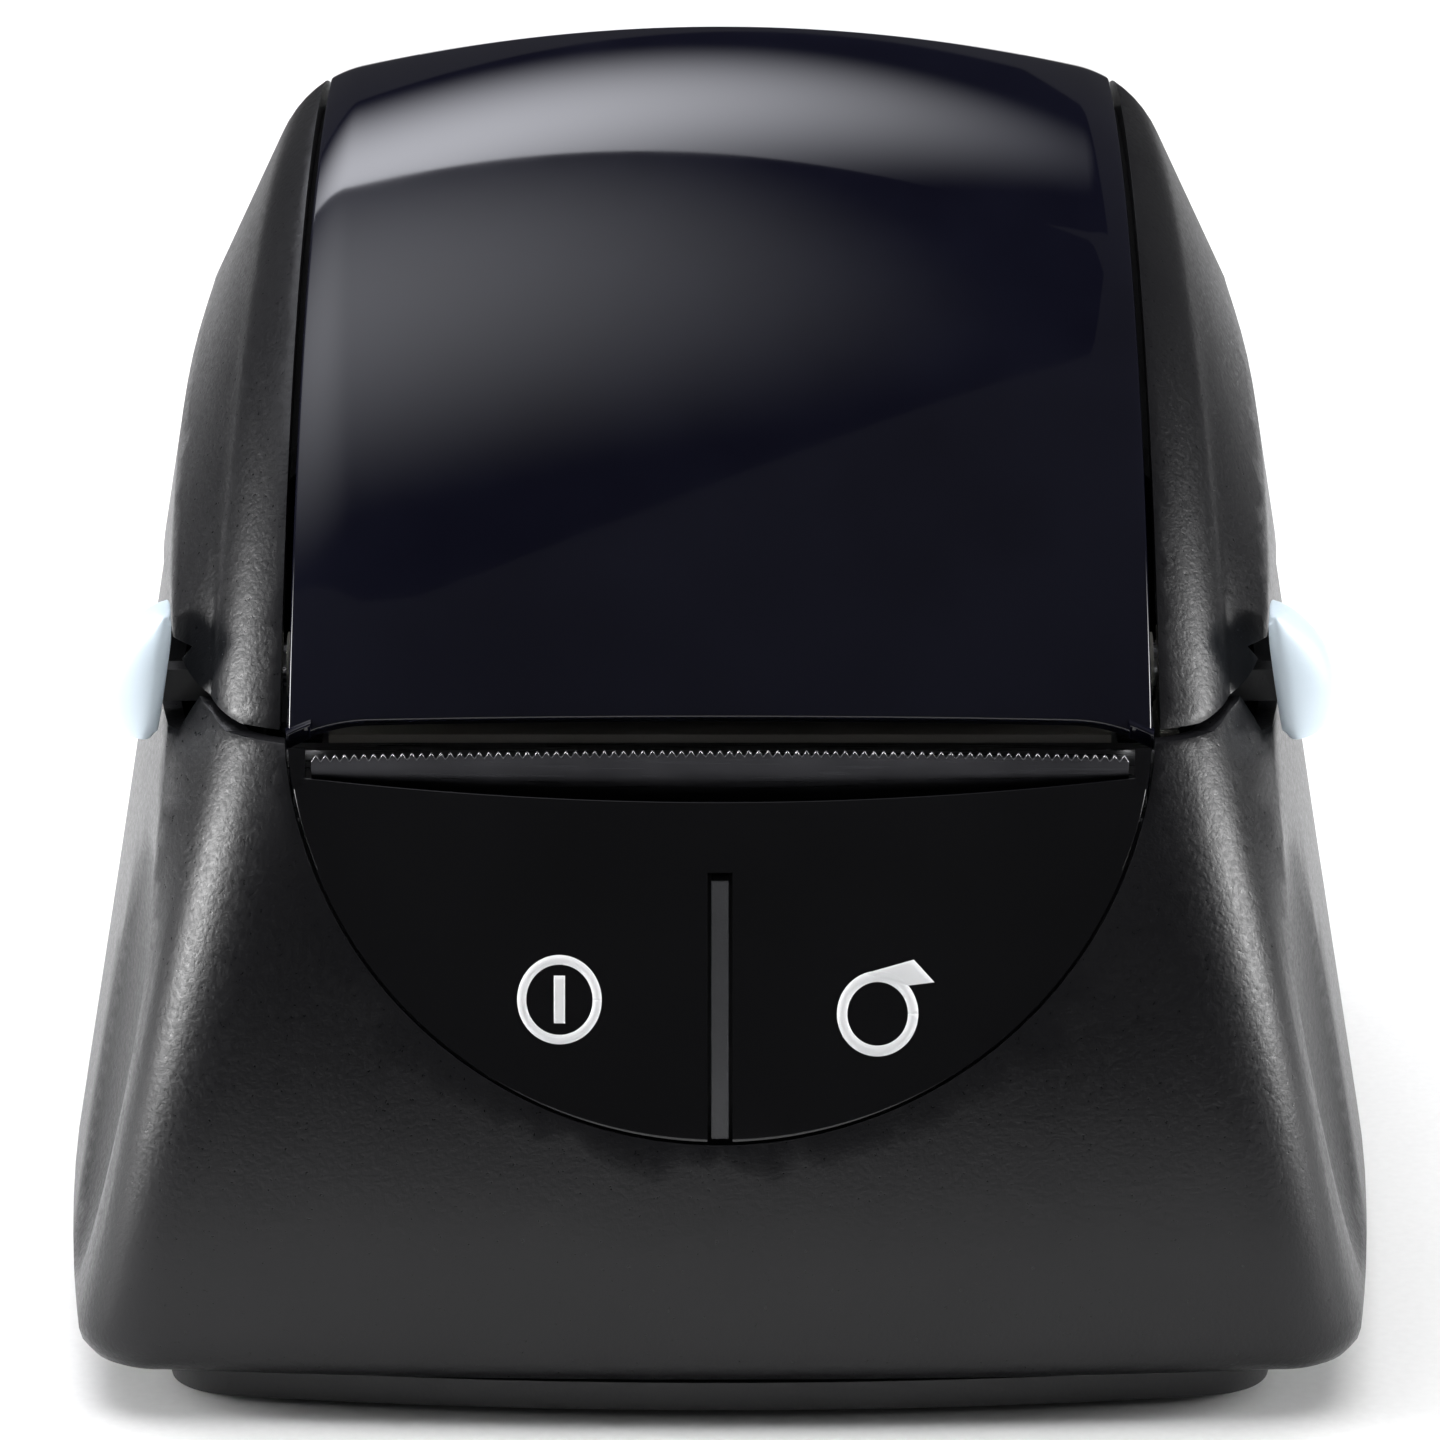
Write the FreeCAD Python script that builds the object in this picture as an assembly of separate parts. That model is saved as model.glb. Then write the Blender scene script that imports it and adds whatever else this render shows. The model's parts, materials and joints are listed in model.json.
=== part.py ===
import FreeCAD, Part
import math
import os

# Desktop label printer with a clamshell lid, in millimetres.
# +X is right (seen from the front), +Y is back, +Z is up.
# The origin is under the middle of the printer, on the surface it stands on.

V = FreeCAD.Vector
X_AXIS = V(1, 0, 0)
Y_AXIS = V(0, 1, 0)
Z_AXIS = V(0, 0, 1)

# ---------------------------------------------------------------- driving dimensions
DEPTH = 225.0                 # front of the skirt to the back wall
HALF_DEPTH = DEPTH / 2
WALL = 2.6                    # thickness of the outer mouldings
FOOT_TOP = 1.2                # rubber feet, from the table up
TRAY_TOP = 5.2                # upper face of the base plate
SKIRT_Z = 5.4                 # lower edge of the housing
SKIRT_ROUND = 6.0             # rounding of that edge

FRONT_R = 127.0               # side profile of the front face, one arc
FRONT_CY = 14.5
FRONT_CZ = 19.6
FRONT_BOW = 4.0               # how far the skirt bulges forward in the middle

SEAM_FRONT_Z = 91.0           # parting line between lid and housing
SEAM_SIDE_Z = 101.0
SEAM_REAR_Z = 103.5
SEAM_GAP = 1.1

CREST_Y = 31.0                # crease across the top of the lid
CREST_Z = 169.5               # height of the crease in the middle
LID_FRONT_Y = -86.5           # front edge of the window
LID_FRONT_Z = 94.2
LID_FRONT_R = 167.0
LID_REAR_R = 97.0

HINGE_Y = 97.0
HINGE_Z = 100.0
BARREL_R = 13.0               # rounded rear end of the lid, about the hinge
BARREL_GAP = 0.7
REAR_WALL_Z = 88.6            # top of the back wall, under the barrel

WINDOW_HALF = 59.3
WINDOW_GAP = 1.0
WINDOW_THICK = 2.4
WINDOW_REAR_Y = 74.0

PANEL_R = 59.2                # round lower edge of the front panel
PANEL_TILT = 16.0             # the panel's outline is cut square to this slope
PANEL_RISE = 7.5              # centre of the round outline above the tear bar
PANEL_GAP = 0.5
KEY_TOP_Z = 76.0              # hinge line of the two keys
KEY_SLOT = 3.4
RIB_WIDTH = 2.3
KEY_STEM_Z = 54.0
KEY_STEM_X = 21.0
KEY_PLAY = 0.65               # free travel before a key meets its switch

TEAR_Y = -91.4
TEAR_Z = 90.0
TEAR_HALF = 56.0
TOOTH_PITCH = 1.31
TOOTH_HEIGHT = 0.8

PLATEN_Y = -70.0
PLATEN_Z = 97.2
PLATEN_R = 7.0
SHAFT_R = 3.0
GEAR_MODULE = 0.8
PLATEN_TEETH = 16
IDLER_TEETH = 40
PINION_TEETH = 12
GEAR_X0 = 60.9
GEAR_X1 = 63.5
IDLER_DROP = GEAR_MODULE * (PLATEN_TEETH + IDLER_TEETH) / 2
IDLER_Z = PLATEN_Z - IDLER_DROP
MOTOR_REACH = GEAR_MODULE * (PINION_TEETH + IDLER_TEETH) / 2
MOTOR_ANGLE = -60.0           # from the idler's centre, towards the back and down
MOTOR_Y = PLATEN_Y + MOTOR_REACH * math.cos(math.radians(MOTOR_ANGLE))
MOTOR_Z = IDLER_Z + MOTOR_REACH * math.sin(math.radians(MOTOR_ANGLE))
MOTOR_R = 17.5

GUIDE_ROD_Y = -79.6
GUIDE_ROD_Z = 95.2
GUIDE_ROD_R = 1.2

FRAME_X = 60.0                # inner face of the mechanism frame's side plates
FRAME_T = 0.8
HEAD_PIVOT_Y = -50.0
HEAD_PIVOT_Z = 82.0

ROLL_Y = 23.0                 # centre of the label roll bay
ROLL_Z = 82.0
BAY_R = 66.0
BAY_HALF = 61.0
BAY_WALL = 2.0

GUIDE_X = 57.0                # inner face of a media guide at its widest
GUIDE_T = 2.5
RACK_Z0 = 9.6
RACK_Z1 = 12.4
RACK_MODULE = 1.0
GUIDE_TEETH = 14
GUIDE_PINION_R = RACK_MODULE * GUIDE_TEETH / 2

LATCH_PIVOT_Y = -62.0
LATCH_PIVOT_Z = 34.0
LATCH_TRAVEL = 6.0            # how far the finger tabs move back
HOOK_X = 64.1
HOOK_T = 1.8

FIT = 0.05                    # radial running clearance


# ---------------------------------------------------------------- small helpers
def box(x0, x1, y0, y1, z0, z1):
    return Part.makeBox(x1 - x0, y1 - y0, z1 - z0, V(x0, y0, z0))


def rod(axis, centre, radius, length):
    """Cylinder that starts at centre and runs along axis."""
    return Part.makeCylinder(radius, length, V(*centre), axis)


def x_rod(x0, x1, y, z, radius):
    return rod(X_AXIS, (x0, y, z), radius, x1 - x0)


def mirror_x(shape):
    return shape.mirror(V(0, 0, 0), X_AXIS)


def both_sides(shape):
    return [shape, mirror_x(shape)]


def fuse(shapes):
    result = shapes[0]
    for shape in shapes[1:]:
        result = result.fuse(shape)
    return result.removeSplitter()


def group(shapes):
    return Part.makeCompound(shapes)


def line(a, b):
    return Part.LineSegment(a, b).toShape()


def arc(a, middle, b):
    return Part.Arc(a, middle, b).toShape()


def bulged_arc(a, b, radius):
    """Arc of the given radius from a to b in a plane of constant X, bulging up and outwards."""
    run = b - a
    side = V(0, -run.z, run.y) / run.Length
    sagitta = radius - math.sqrt(radius ** 2 - run.Length ** 2 / 4)
    return arc(a, (a + b) / 2 + side * sagitta, b).Curve


def yz_prism(points, x0, x1):
    wire = Part.makePolygon([V(x0, y, z) for y, z in points + points[:1]])
    return Part.Face(wire).extrude(V(x1 - x0, 0, 0))


def xy_prism(points, z0, z1):
    wire = Part.makePolygon([V(x, y, z0) for x, y in points + points[:1]])
    return Part.Face(wire).extrude(V(0, 0, z1 - z0))


# ---------------------------------------------------------------- outer form
def front_y(z):
    """Y of the front face on the centre line at height z."""
    return FRONT_CY - math.sqrt(FRONT_R ** 2 - (z - FRONT_CZ) ** 2)


def side_x(y, z):
    """X of the side wall: it leans in going up and draws in towards the front."""
    widest = 99.4 - 0.167 * z
    if y < 5:
        draw = 0.00075 + 0.0000068 * min(z, 90)
    else:
        draw = 0.0003
    return widest - draw * (y - 5) ** 2


def housing_section(z, inset):
    """Closed plan outline of the lower body at height z, moved in by inset."""
    y_front = front_y(z)
    corner_x = 86.8 - 0.239 * z
    radius = 12 + 8 * z / 90
    bow = FRONT_BOW * (1 - 0.75 * z / 90)
    turn = math.radians(65)
    reach = radius * math.tan(turn / 2)
    crease_y = y_front + bow + 9 + 12 * z / 90
    rear_y = HALF_DEPTH - 1.2 * z / 90
    rear_r = 16.0
    y0 = y_front + bow
    start = V(corner_x - reach, y0, z)
    centre = V(start.x, y0 + radius, z)
    middle = centre + V(math.sin(turn / 2), -math.cos(turn / 2), 0) * radius
    end = centre + V(math.sin(turn), -math.cos(turn), 0) * radius
    crease = V(side_x(crease_y, z), crease_y, z)
    widest = V(side_x(5, z), 5, z)
    rear_side = V(side_x(rear_y - rear_r, z), rear_y - rear_r, z)
    rear_mid = rear_side + V(-rear_r * 0.293, rear_r * 0.707, 0)
    rear_end = rear_side + V(-rear_r, rear_r, 0)

    def moved(point, direction):
        return point + V(*direction) * inset

    def left(point):
        return V(-point.x, point.y, point.z)

    nose = V(0, y_front + inset, z)
    start = moved(start, (-0.15, 1, 0))
    middle = moved(middle, (-math.sin(turn / 2), math.cos(turn / 2), 0))
    end = moved(end, (-math.sin(turn), math.cos(turn), 0))
    crease = moved(crease, (-1, 0.25, 0))
    widest = moved(widest, (-1, 0, 0))
    rear_side = moved(rear_side, (-1, 0, 0))
    rear_mid = moved(rear_mid, (-0.707, -0.707, 0))
    rear_end = moved(rear_end, (0, -1, 0))
    return Part.Wire([
        arc(left(start), nose, start),
        arc(start, middle, end),
        line(end, crease),
        arc(crease, widest, rear_side),
        arc(rear_side, rear_mid, rear_end),
        line(rear_end, left(rear_end)),
        arc(left(rear_end), left(rear_mid), left(rear_side)),
        arc(left(rear_side), left(widest), left(crease)),
        line(left(crease), left(end)),
        arc(left(end), left(middle), left(start)),
    ])


def housing_form(inset, z0, z1):
    """Solid of the lower body between two heights."""
    levels = [z0 + (z1 - z0) * step / 5 for step in range(6)]
    return Part.makeLoft([housing_section(z, inset) for z in levels], True, False)


def rounded_foot(inset, z0, radius):
    """The lowest stretch of the body, rounded under."""
    wires = []
    for step in range(6):
        angle = math.radians(90 * step / 5)
        z = z0 + radius * (1 - math.cos(angle))
        wires.append(housing_section(z, inset + radius * (1 - math.sin(angle))))
    return Part.makeLoft(wires, True, True)


def lid_profile():
    """The lid's side profile on the centre line: front arc and rear arc."""
    front = bulged_arc(V(0, LID_FRONT_Y, LID_FRONT_Z), V(0, CREST_Y, CREST_Z), LID_FRONT_R)
    rear = bulged_arc(V(0, CREST_Y, CREST_Z), V(0, HINGE_Y + 12.2, HINGE_Z + 7.5), LID_REAR_R)
    return front, rear


FRONT_ARC, REAR_ARC = lid_profile()


def lid_top(y):
    """Height of the lid on the centre line, and the slope there, at depth y."""
    curve = FRONT_ARC if y <= CREST_Y else REAR_ARC
    centre = curve.Center
    rise = math.sqrt(curve.Radius ** 2 - (y - centre.y) ** 2)
    slope = math.atan2(abs(y - centre.y), rise)
    return centre.z + rise, slope


def lid_section(y, inset, floor_z):
    """Closed outline of the lid across the printer at depth y, moved in by inset."""
    top, slope = lid_top(y)
    share = min(max((y - LID_FRONT_Y) / (CREST_Y - LID_FRONT_Y), 0), 1)
    crown = 0.9 + 6.6 * share
    if y > CREST_Y:
        crown = 7.5 - 4.5 * (y - CREST_Y) / (HINGE_Y + 12 - CREST_Y)
    behind = max((y - CREST_Y) / (HINGE_Y + 12 - CREST_Y), 0)
    corner_x = 66.5 - 3.5 * share + 8.0 * behind ** 2
    radius = (18.0 - 7.0 * behind) / max(math.cos(slope), 0.55) ** 0.5
    lean = 0.47 * math.cos(slope)
    top -= inset / math.cos(slope)
    fall = 2 * crown * corner_x / WINDOW_HALF ** 2
    corner_x -= inset
    corner_z = top - crown * (corner_x / WINDOW_HALF) ** 2
    tilt_top = math.atan(fall)
    tilt_side = math.atan2(1.0, lean)
    turn = tilt_side - tilt_top
    reach = radius * math.tan(turn / 2)
    start = V(corner_x - reach * math.cos(tilt_top), y, corner_z + reach * math.sin(tilt_top))
    end = V(corner_x + reach * math.cos(tilt_side), y, corner_z - reach * math.sin(tilt_side))
    aim = (tilt_top + tilt_side) / 2
    centre = start - V(math.sin(tilt_top), 0, math.cos(tilt_top)) * radius
    middle = centre + V(math.sin(aim), 0, math.cos(aim)) * radius
    wall = side_x(y, 110) - inset
    drop = max((wall - end.x) / (lean + 0.167), 1.0)
    crease_z = end.z - drop
    crease = V(side_x(y, crease_z) - inset, y, crease_z)
    foot = V(side_x(y, floor_z) - inset, y, floor_z)

    def left(point):
        return V(-point.x, point.y, point.z)

    ridge = V(0, y, top)
    return Part.Wire([
        arc(left(start), ridge, start),
        arc(start, middle, end),
        line(end, crease),
        line(crease, foot),
        line(foot, left(foot)),
        line(left(foot), left(crease)),
        line(left(crease), left(end)),
        arc(left(end), left(middle), left(start)),
    ])


def lid_form(inset, floor_z=20.0):
    """Solid under the lid's outer surface, front to back."""
    front = [lid_section(y, inset, floor_z) for y in (-97, -86, -72, -55, -35, -12, 10, CREST_Y)]
    rear = [lid_section(y, inset, floor_z) for y in (CREST_Y, 50, 68, 84, 96, 104, 108.5)]
    return fuse([Part.makeLoft(front, True, False), Part.makeLoft(rear, True, False)])


def seam_points(rise):
    """Side view of the parting line from the front to the hinge barrel."""
    return [(-130, SEAM_FRONT_Z + rise), (-82, SEAM_FRONT_Z + rise), (-74, 93.0 + rise),
            (-64, 97.4 + rise), (-54, 100.2 + rise), (-42, SEAM_SIDE_Z + rise),
            (HINGE_Y, SEAM_REAR_Z + rise)]


def above_seam(rise):
    return yz_prism(seam_points(rise) + [(HINGE_Y, 200), (-130, 200)], -120, 120)


def below_seam():
    return yz_prism(seam_points(0) + [(HINGE_Y, REAR_WALL_Z), (130, REAR_WALL_Z), (130, -10), (-130, -10)], -120, 120)


# ---------------------------------------------------------------- shared solids, made once
SKIRT_TOP = SKIRT_Z + SKIRT_ROUND
INNER_ROUND = SKIRT_ROUND - WALL
HOUSING_OUT = fuse([housing_form(0, SKIRT_TOP, 106), rounded_foot(0, SKIRT_Z, SKIRT_ROUND)])
HOUSING_IN = fuse([housing_form(WALL, SKIRT_TOP, 108),
                   rounded_foot(WALL, SKIRT_TOP - INNER_ROUND, INNER_ROUND)])
LID_OUT = lid_form(0)
LID_IN = lid_form(WALL)


def panel_cutter(radius, reach=80.0):
    """Round bar that cuts the outline of the front panel and its keys."""
    tilt = math.radians(PANEL_TILT)
    axis = V(0, math.cos(tilt), -math.sin(tilt))
    centre = V(0, TEAR_Y, TEAR_Z + PANEL_RISE)
    return Part.makeCylinder(radius, reach, centre - axis * (reach - 22), axis)


def front_skin(inner_inset):
    return HOUSING_OUT.cut(housing_form(inner_inset, 0, 108))


# ---------------------------------------------------------------- base
def base_outline(inset, z0, z1):
    """Plate with the plan shape of the base: bowed in front, wider towards the back."""
    front = V(75 - inset, -101 + inset, 0)
    side = V(88 - inset, 0, 0)
    rear = V(85 - inset, 106 - inset, 0)
    nose = V(0, -107.6 + inset, 0)

    def left(point):
        return V(-point.x, point.y, point.z)

    face = Part.Face(Part.Wire([
        arc(left(front), nose, front),
        arc(front, side, rear),
        line(rear, left(rear)),
        arc(left(rear), left(side), left(front)),
    ]))
    solid = face.extrude(V(0, 0, z1 - z0))
    solid.translate(V(0, 0, z0))
    upright = [e for e in solid.Edges if e.BoundBox.ZLength > 1 and e.BoundBox.XLength < 0.01]
    return solid.makeFillet(10.0, upright)


FOOT_PLACES = [(-60, -88), (60, -88), (-68, 88), (68, 88)]
POST_PLACES = [(-66, -76), (66, -76), (-76, 30), (76, 30), (-66, 98), (66, 98)]
BOARD_POSTS = [(-44, 52), (44, 52), (-44, 98), (44, 98)]


def bottom_tray():
    plate = base_outline(0, FOOT_TOP, TRAY_TOP)
    sill = box(-62, 62, -98, -96, TRAY_TOP, 12)
    parts = [plate, sill]
    for x, y in BOARD_POSTS:
        parts.append(rod(Z_AXIS, (x, y, TRAY_TOP), 3.2, BOARD_Z - TRAY_TOP))
    tray = fuse(parts)
    for x, y in FOOT_PLACES:
        tray = tray.cut(rod(Z_AXIS, (x, y, 0), 7.0, FOOT_TOP + 1.2))
    for x, y in POST_PLACES:
        tray = tray.cut(rod(Z_AXIS, (x, y, 0), 1.7, 10))
        tray = tray.cut(rod(Z_AXIS, (x, y, 0), 3.2, FOOT_TOP + 1.2))
    for x, y in BOARD_POSTS:
        tray = tray.cut(rod(Z_AXIS, (x, y, 4), 1.3, 10))
    for row in range(7):
        slot = box(-22, 22, -44 + 6 * row, -41.5 + 6 * row, 0, 10)
        tray = tray.cut(slot)
    return tray


def rubber_feet():
    feet = []
    for x, y in FOOT_PLACES:
        foot = Part.makeCone(6.3, 6.9, 0.8, V(x, y, 0))
        feet.append(foot.fuse(rod(Z_AXIS, (x, y, 0.8), 6.9, FOOT_TOP + 0.3)).removeSplitter())
    return group(feet)


def screw(x, y, z_head, length, up=True, head_r=2.8, shank_r=1.4):
    """Pan head screw with a cross recess; up means that the shank points up."""
    way = 1 if up else -1
    axis = Z_AXIS * way
    head = rod(axis, (x, y, z_head), head_r, 1.1)
    shank = rod(axis, (x, y, z_head + way * 1.0), shank_r, length)
    body = head.fuse(shank)
    z0 = min(z_head, z_head + way * 0.6)
    body = body.cut(box(x - 1.5, x + 1.5, y - 0.3, y + 0.3, z0, z0 + 0.6))
    body = body.cut(box(x - 0.3, x + 0.3, y - 1.5, y + 1.5, z0, z0 + 0.6))
    return body.removeSplitter()


def tray_screws():
    return group([screw(x, y, FOOT_TOP + 0.1, 9) for x, y in POST_PLACES])


# ---------------------------------------------------------------- lower housing
GRIP_Y = -76.0                # shallow scoop in each side, behind the front corner
GRIP_Z = 46.0


def side_scoop():
    """Long dish that gives the fingers a hold on each side."""
    ball = Part.makeSphere(1.0)
    stretch = FreeCAD.Matrix()
    stretch.scale(V(13.0, 27.0, 44.0))
    dish = ball.transformGeometry(stretch)
    dish.rotate(V(0, 0, 0), Y_AXIS, -9.5)
    dish.rotate(V(0, 0, 0), Z_AXIS, -9.0)
    dish.translate(V(side_x(GRIP_Y, GRIP_Z) + 8.6, GRIP_Y, GRIP_Z))
    return dish


def lower_housing():
    scoop = side_scoop()
    outer = HOUSING_OUT.cut(scoop).cut(mirror_x(scoop))
    shell = outer.cut(HOUSING_IN).cut(base_outline(4.0, 0, 12))
    scoop_back = scoop.copy()
    scoop_back.translate(V(-WALL, 0, 0))
    backing = scoop_back.common(HOUSING_IN).cut(scoop)
    shell = fuse([shell, backing, mirror_x(backing)])
    shell = shell.common(below_seam())
    shell = shell.cut(x_rod(-120, 120, HINGE_Y, HINGE_Z, BARREL_R + BARREL_GAP))
    shell = shell.cut(panel_cutter(PANEL_R + PANEL_GAP))
    # notch in each side's upper edge, for the latch arm
    for sign in (-1, 1):
        x0, x1 = sorted((sign * 68, sign * 90))
        shell = shell.cut(box(x0, x1, -73, -54.5, 88.5, 110))
    posts = []
    for x, y in POST_PLACES:
        post = rod(Z_AXIS, (x, y, TRAY_TOP + 0.1), 3.6, 14)
        post = post.cut(rod(Z_AXIS, (x, y, 0), 1.45, 14))
        reach = side_x(y, 12) - 1.5
        web = box(min(abs(x), reach), reach, y - 1, y + 1, 8, 17)
        if x < 0:
            web = mirror_x(web)
        web = web.cut(rod(Z_AXIS, (x, y, 0), 3.0, 30)).common(HOUSING_IN)
        posts.append(post.fuse(web))
    shell = fuse([shell] + posts).cut(scoop).cut(mirror_x(scoop))
    shell = shell.cut(box(USB_X - 6.2, USB_X + 6.2, 100, 120, 10.4, 21.8))
    shell = shell.cut(box(DC_X - 4.7, DC_X + 4.7, 100, 120, 10.4, 21.6))
    return shell


# ---------------------------------------------------------------- front panel and keys
def panel_skin():
    return front_skin(WALL).common(panel_cutter(PANEL_R))


def front_panel():
    skin = panel_skin().common(box(-80, 80, -140, -60, KEY_TOP_Z + 0.3, TEAR_Z))
    skin = skin.cut(box(-TEAR_HALF - 0.4, TEAR_HALF + 0.4, -140, -60, 86.2, 100))
    pocket = housing_form(WALL, 0, 108).cut(housing_form(WALL + 1.6, 0, 108))
    pocket = pocket.common(box(-TEAR_HALF - 2, TEAR_HALF + 2, -140, -80, 82.5, 88.6))
    flange = front_skin(WALL + 1.4).cut(front_skin(WALL))
    flange = flange.common(panel_cutter(PANEL_R + 3)).cut(panel_cutter(PANEL_R - 3))
    flange = flange.common(box(-80, 80, -140, -60, KEY_TOP_Z + 0.3, 88))
    return fuse([skin, pocket, flange])


def key(sign):
    skin = panel_skin().common(box(-80, 80, -140, -60, 20, KEY_TOP_Z))
    x0, x1 = sorted((sign * KEY_SLOT / 2, sign * 80))
    skin = skin.common(box(x0, x1, -140, -60, 0, 100))
    stem_y = front_y(KEY_STEM_Z) + WALL - 0.4
    reach = KEY_BOARD_Y - SWITCH_TALL - KEY_PLAY - stem_y
    stem = rod(Y_AXIS, (sign * KEY_STEM_X, stem_y, KEY_STEM_Z), 2.2, reach)
    return fuse([skin, stem])


CARRIER_GAP = 2.6             # free space behind the keys
KEY_BOARD_Y = -96.5
KEY_BOARD_PIN_X = 31.0
SWITCH_TALL = 4.7


def key_carrier():
    """Plate behind the keys, with the rib that shows in the slot between them."""
    depth = WALL + CARRIER_GAP
    plate = housing_form(depth, 0, 108).cut(housing_form(depth + 1.6, 0, 108))
    plate = plate.common(panel_cutter(PANEL_R + 5)).common(box(-70, 70, -140, -60, 34, 80.5))
    rib = front_skin(depth + 0.8).common(box(-RIB_WIDTH / 2, RIB_WIDTH / 2, -140, -60, 36, KEY_TOP_Z - 1.2))
    rib = rib.common(housing_form(0.5, 0, 108)).common(panel_cutter(PANEL_R - 0.4))
    rim = housing_form(WALL, 0, 108).cut(housing_form(depth + 1.6, 0, 108))
    rim = rim.common(panel_cutter(PANEL_R + 5)).cut(panel_cutter(PANEL_R + 1.4))
    rim = rim.common(box(-70, 70, -140, -60, 34, KEY_TOP_Z - 0.4))
    posts = []
    for x in (-KEY_BOARD_PIN_X, KEY_BOARD_PIN_X):
        posts.append(rod(Y_AXIS, (x, -100.0, KEY_STEM_Z + 7), 2.4, KEY_BOARD_Y + 100.0))
        posts.append(rod(Y_AXIS, (x, -100.0, KEY_STEM_Z + 7), 1.2, KEY_BOARD_Y + 102.4))
    carrier = fuse([plate, rib, rim] + posts)
    for x in (-KEY_STEM_X, KEY_STEM_X):
        carrier = carrier.cut(rod(Y_AXIS, (x, -130, KEY_STEM_Z), 4.6, 60))
    return carrier


def key_board():
    board = box(-34, 34, KEY_BOARD_Y, KEY_BOARD_Y + 1.6, KEY_STEM_Z - 10, KEY_STEM_Z + 10)
    for x in (-KEY_BOARD_PIN_X, KEY_BOARD_PIN_X):
        board = board.cut(rod(Y_AXIS, (x, KEY_BOARD_Y - 5, KEY_STEM_Z + 7), 1.2, 20))
    return board


def tact_switches():
    switches = []
    for x in (-KEY_STEM_X, KEY_STEM_X):
        body = box(x - 3, x + 3, KEY_BOARD_Y - 3.5, KEY_BOARD_Y, KEY_STEM_Z - 3, KEY_STEM_Z + 3)
        plunger = rod(Y_AXIS, (x, KEY_BOARD_Y - SWITCH_TALL, KEY_STEM_Z), 1.7, 1.4)
        switches.append(body.fuse(plunger).removeSplitter())
    return group(switches)


# ---------------------------------------------------------------- gears
def involute(angle):
    return math.tan(angle) - angle


def gear_outline(teeth, module, turn, thin=0.90, tip_share=0.85):
    """Points of an involute gear with 20 degree flanks, in its own plane."""
    pitch_r = module * teeth / 2
    base_r = pitch_r * math.cos(math.radians(20))
    tip_r = pitch_r + tip_share * module
    root_r = pitch_r - 1.15 * module
    half = math.pi / (2 * teeth) * thin
    flank = [max(root_r, base_r), (max(root_r, base_r) + pitch_r) / 2, pitch_r,
             (pitch_r + tip_r) / 2, tip_r]
    spread = [half + involute(math.radians(20)) - involute(math.acos(min(base_r / r, 1))) for r in flank]
    radii = [root_r] + flank
    spread = [spread[0]] + spread
    points = []
    for tooth in range(teeth):
        middle = turn + 2 * math.pi * tooth / teeth
        rising = [(r, middle - s) for r, s in zip(radii, spread)]
        falling = [(r, middle + s) for r, s in reversed(list(zip(radii, spread)))]
        points += [(r * math.cos(a), r * math.sin(a)) for r, a in rising + falling]
    return points


def x_gear(teeth, y, z, x0, x1, bore, turn):
    """Gear with its axis along X; the outline's first axis is +Y and the second +Z."""
    points = [(y + u, z + v) for u, v in gear_outline(teeth, GEAR_MODULE, turn)]
    return yz_prism(points, x0, x1).cut(x_rod(x0 - 1, x1 + 1, y, z, bore))


def gap_at(teeth, direction):
    """Turn that puts a gap on the given direction."""
    return direction + math.pi / teeth


IDLER_TURN = math.pi / 2       # a tooth of the idler points straight up


def idler_gear():
    gear = x_gear(IDLER_TEETH, PLATEN_Y, IDLER_Z, GEAR_X0, GEAR_X1, 2.0 + FIT, IDLER_TURN)
    hub = x_rod(GEAR_X0, GEAR_X1 + 1.2, PLATEN_Y, IDLER_Z, 4.5)
    hub = hub.cut(x_rod(50, 70, PLATEN_Y, IDLER_Z, 2.0 + FIT))
    gear = gear.fuse(hub)
    for spoke in range(5):
        angle = 2 * math.pi * spoke / 5
        y = PLATEN_Y + 9.3 * math.cos(angle)
        z = IDLER_Z + 9.3 * math.sin(angle)
        gear = gear.cut(x_rod(50, 70, y, z, 3.0))
    return gear.removeSplitter()


def platen_gear():
    turn = gap_at(PLATEN_TEETH, -math.pi / 2)
    gear = x_gear(PLATEN_TEETH, PLATEN_Y, PLATEN_Z, GEAR_X0, GEAR_X1, 2.4, turn)
    flat = box(GEAR_X0, GEAR_X1, PLATEN_Y - 2.4, PLATEN_Y + 2.4, PLATEN_Z + 1.6, PLATEN_Z + 2.4)
    flat = flat.common(x_rod(GEAR_X0, GEAR_X1, PLATEN_Y, PLATEN_Z, 2.45))
    return gear.fuse(flat).removeSplitter()


def motor_pinion():
    """Pinion with a gap facing the idler's nearest tooth."""
    direction = math.radians(MOTOR_ANGLE)
    pitch = 2 * math.pi / IDLER_TEETH
    offset = (direction - IDLER_TURN) / pitch
    miss = (offset - round(offset)) * pitch
    turn = gap_at(PINION_TEETH, direction + math.pi) + miss * IDLER_TEETH / PINION_TEETH
    return x_gear(PINION_TEETH, MOTOR_Y, MOTOR_Z, GEAR_X0, GEAR_X1 + 0.2, 1.0, turn)


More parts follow.
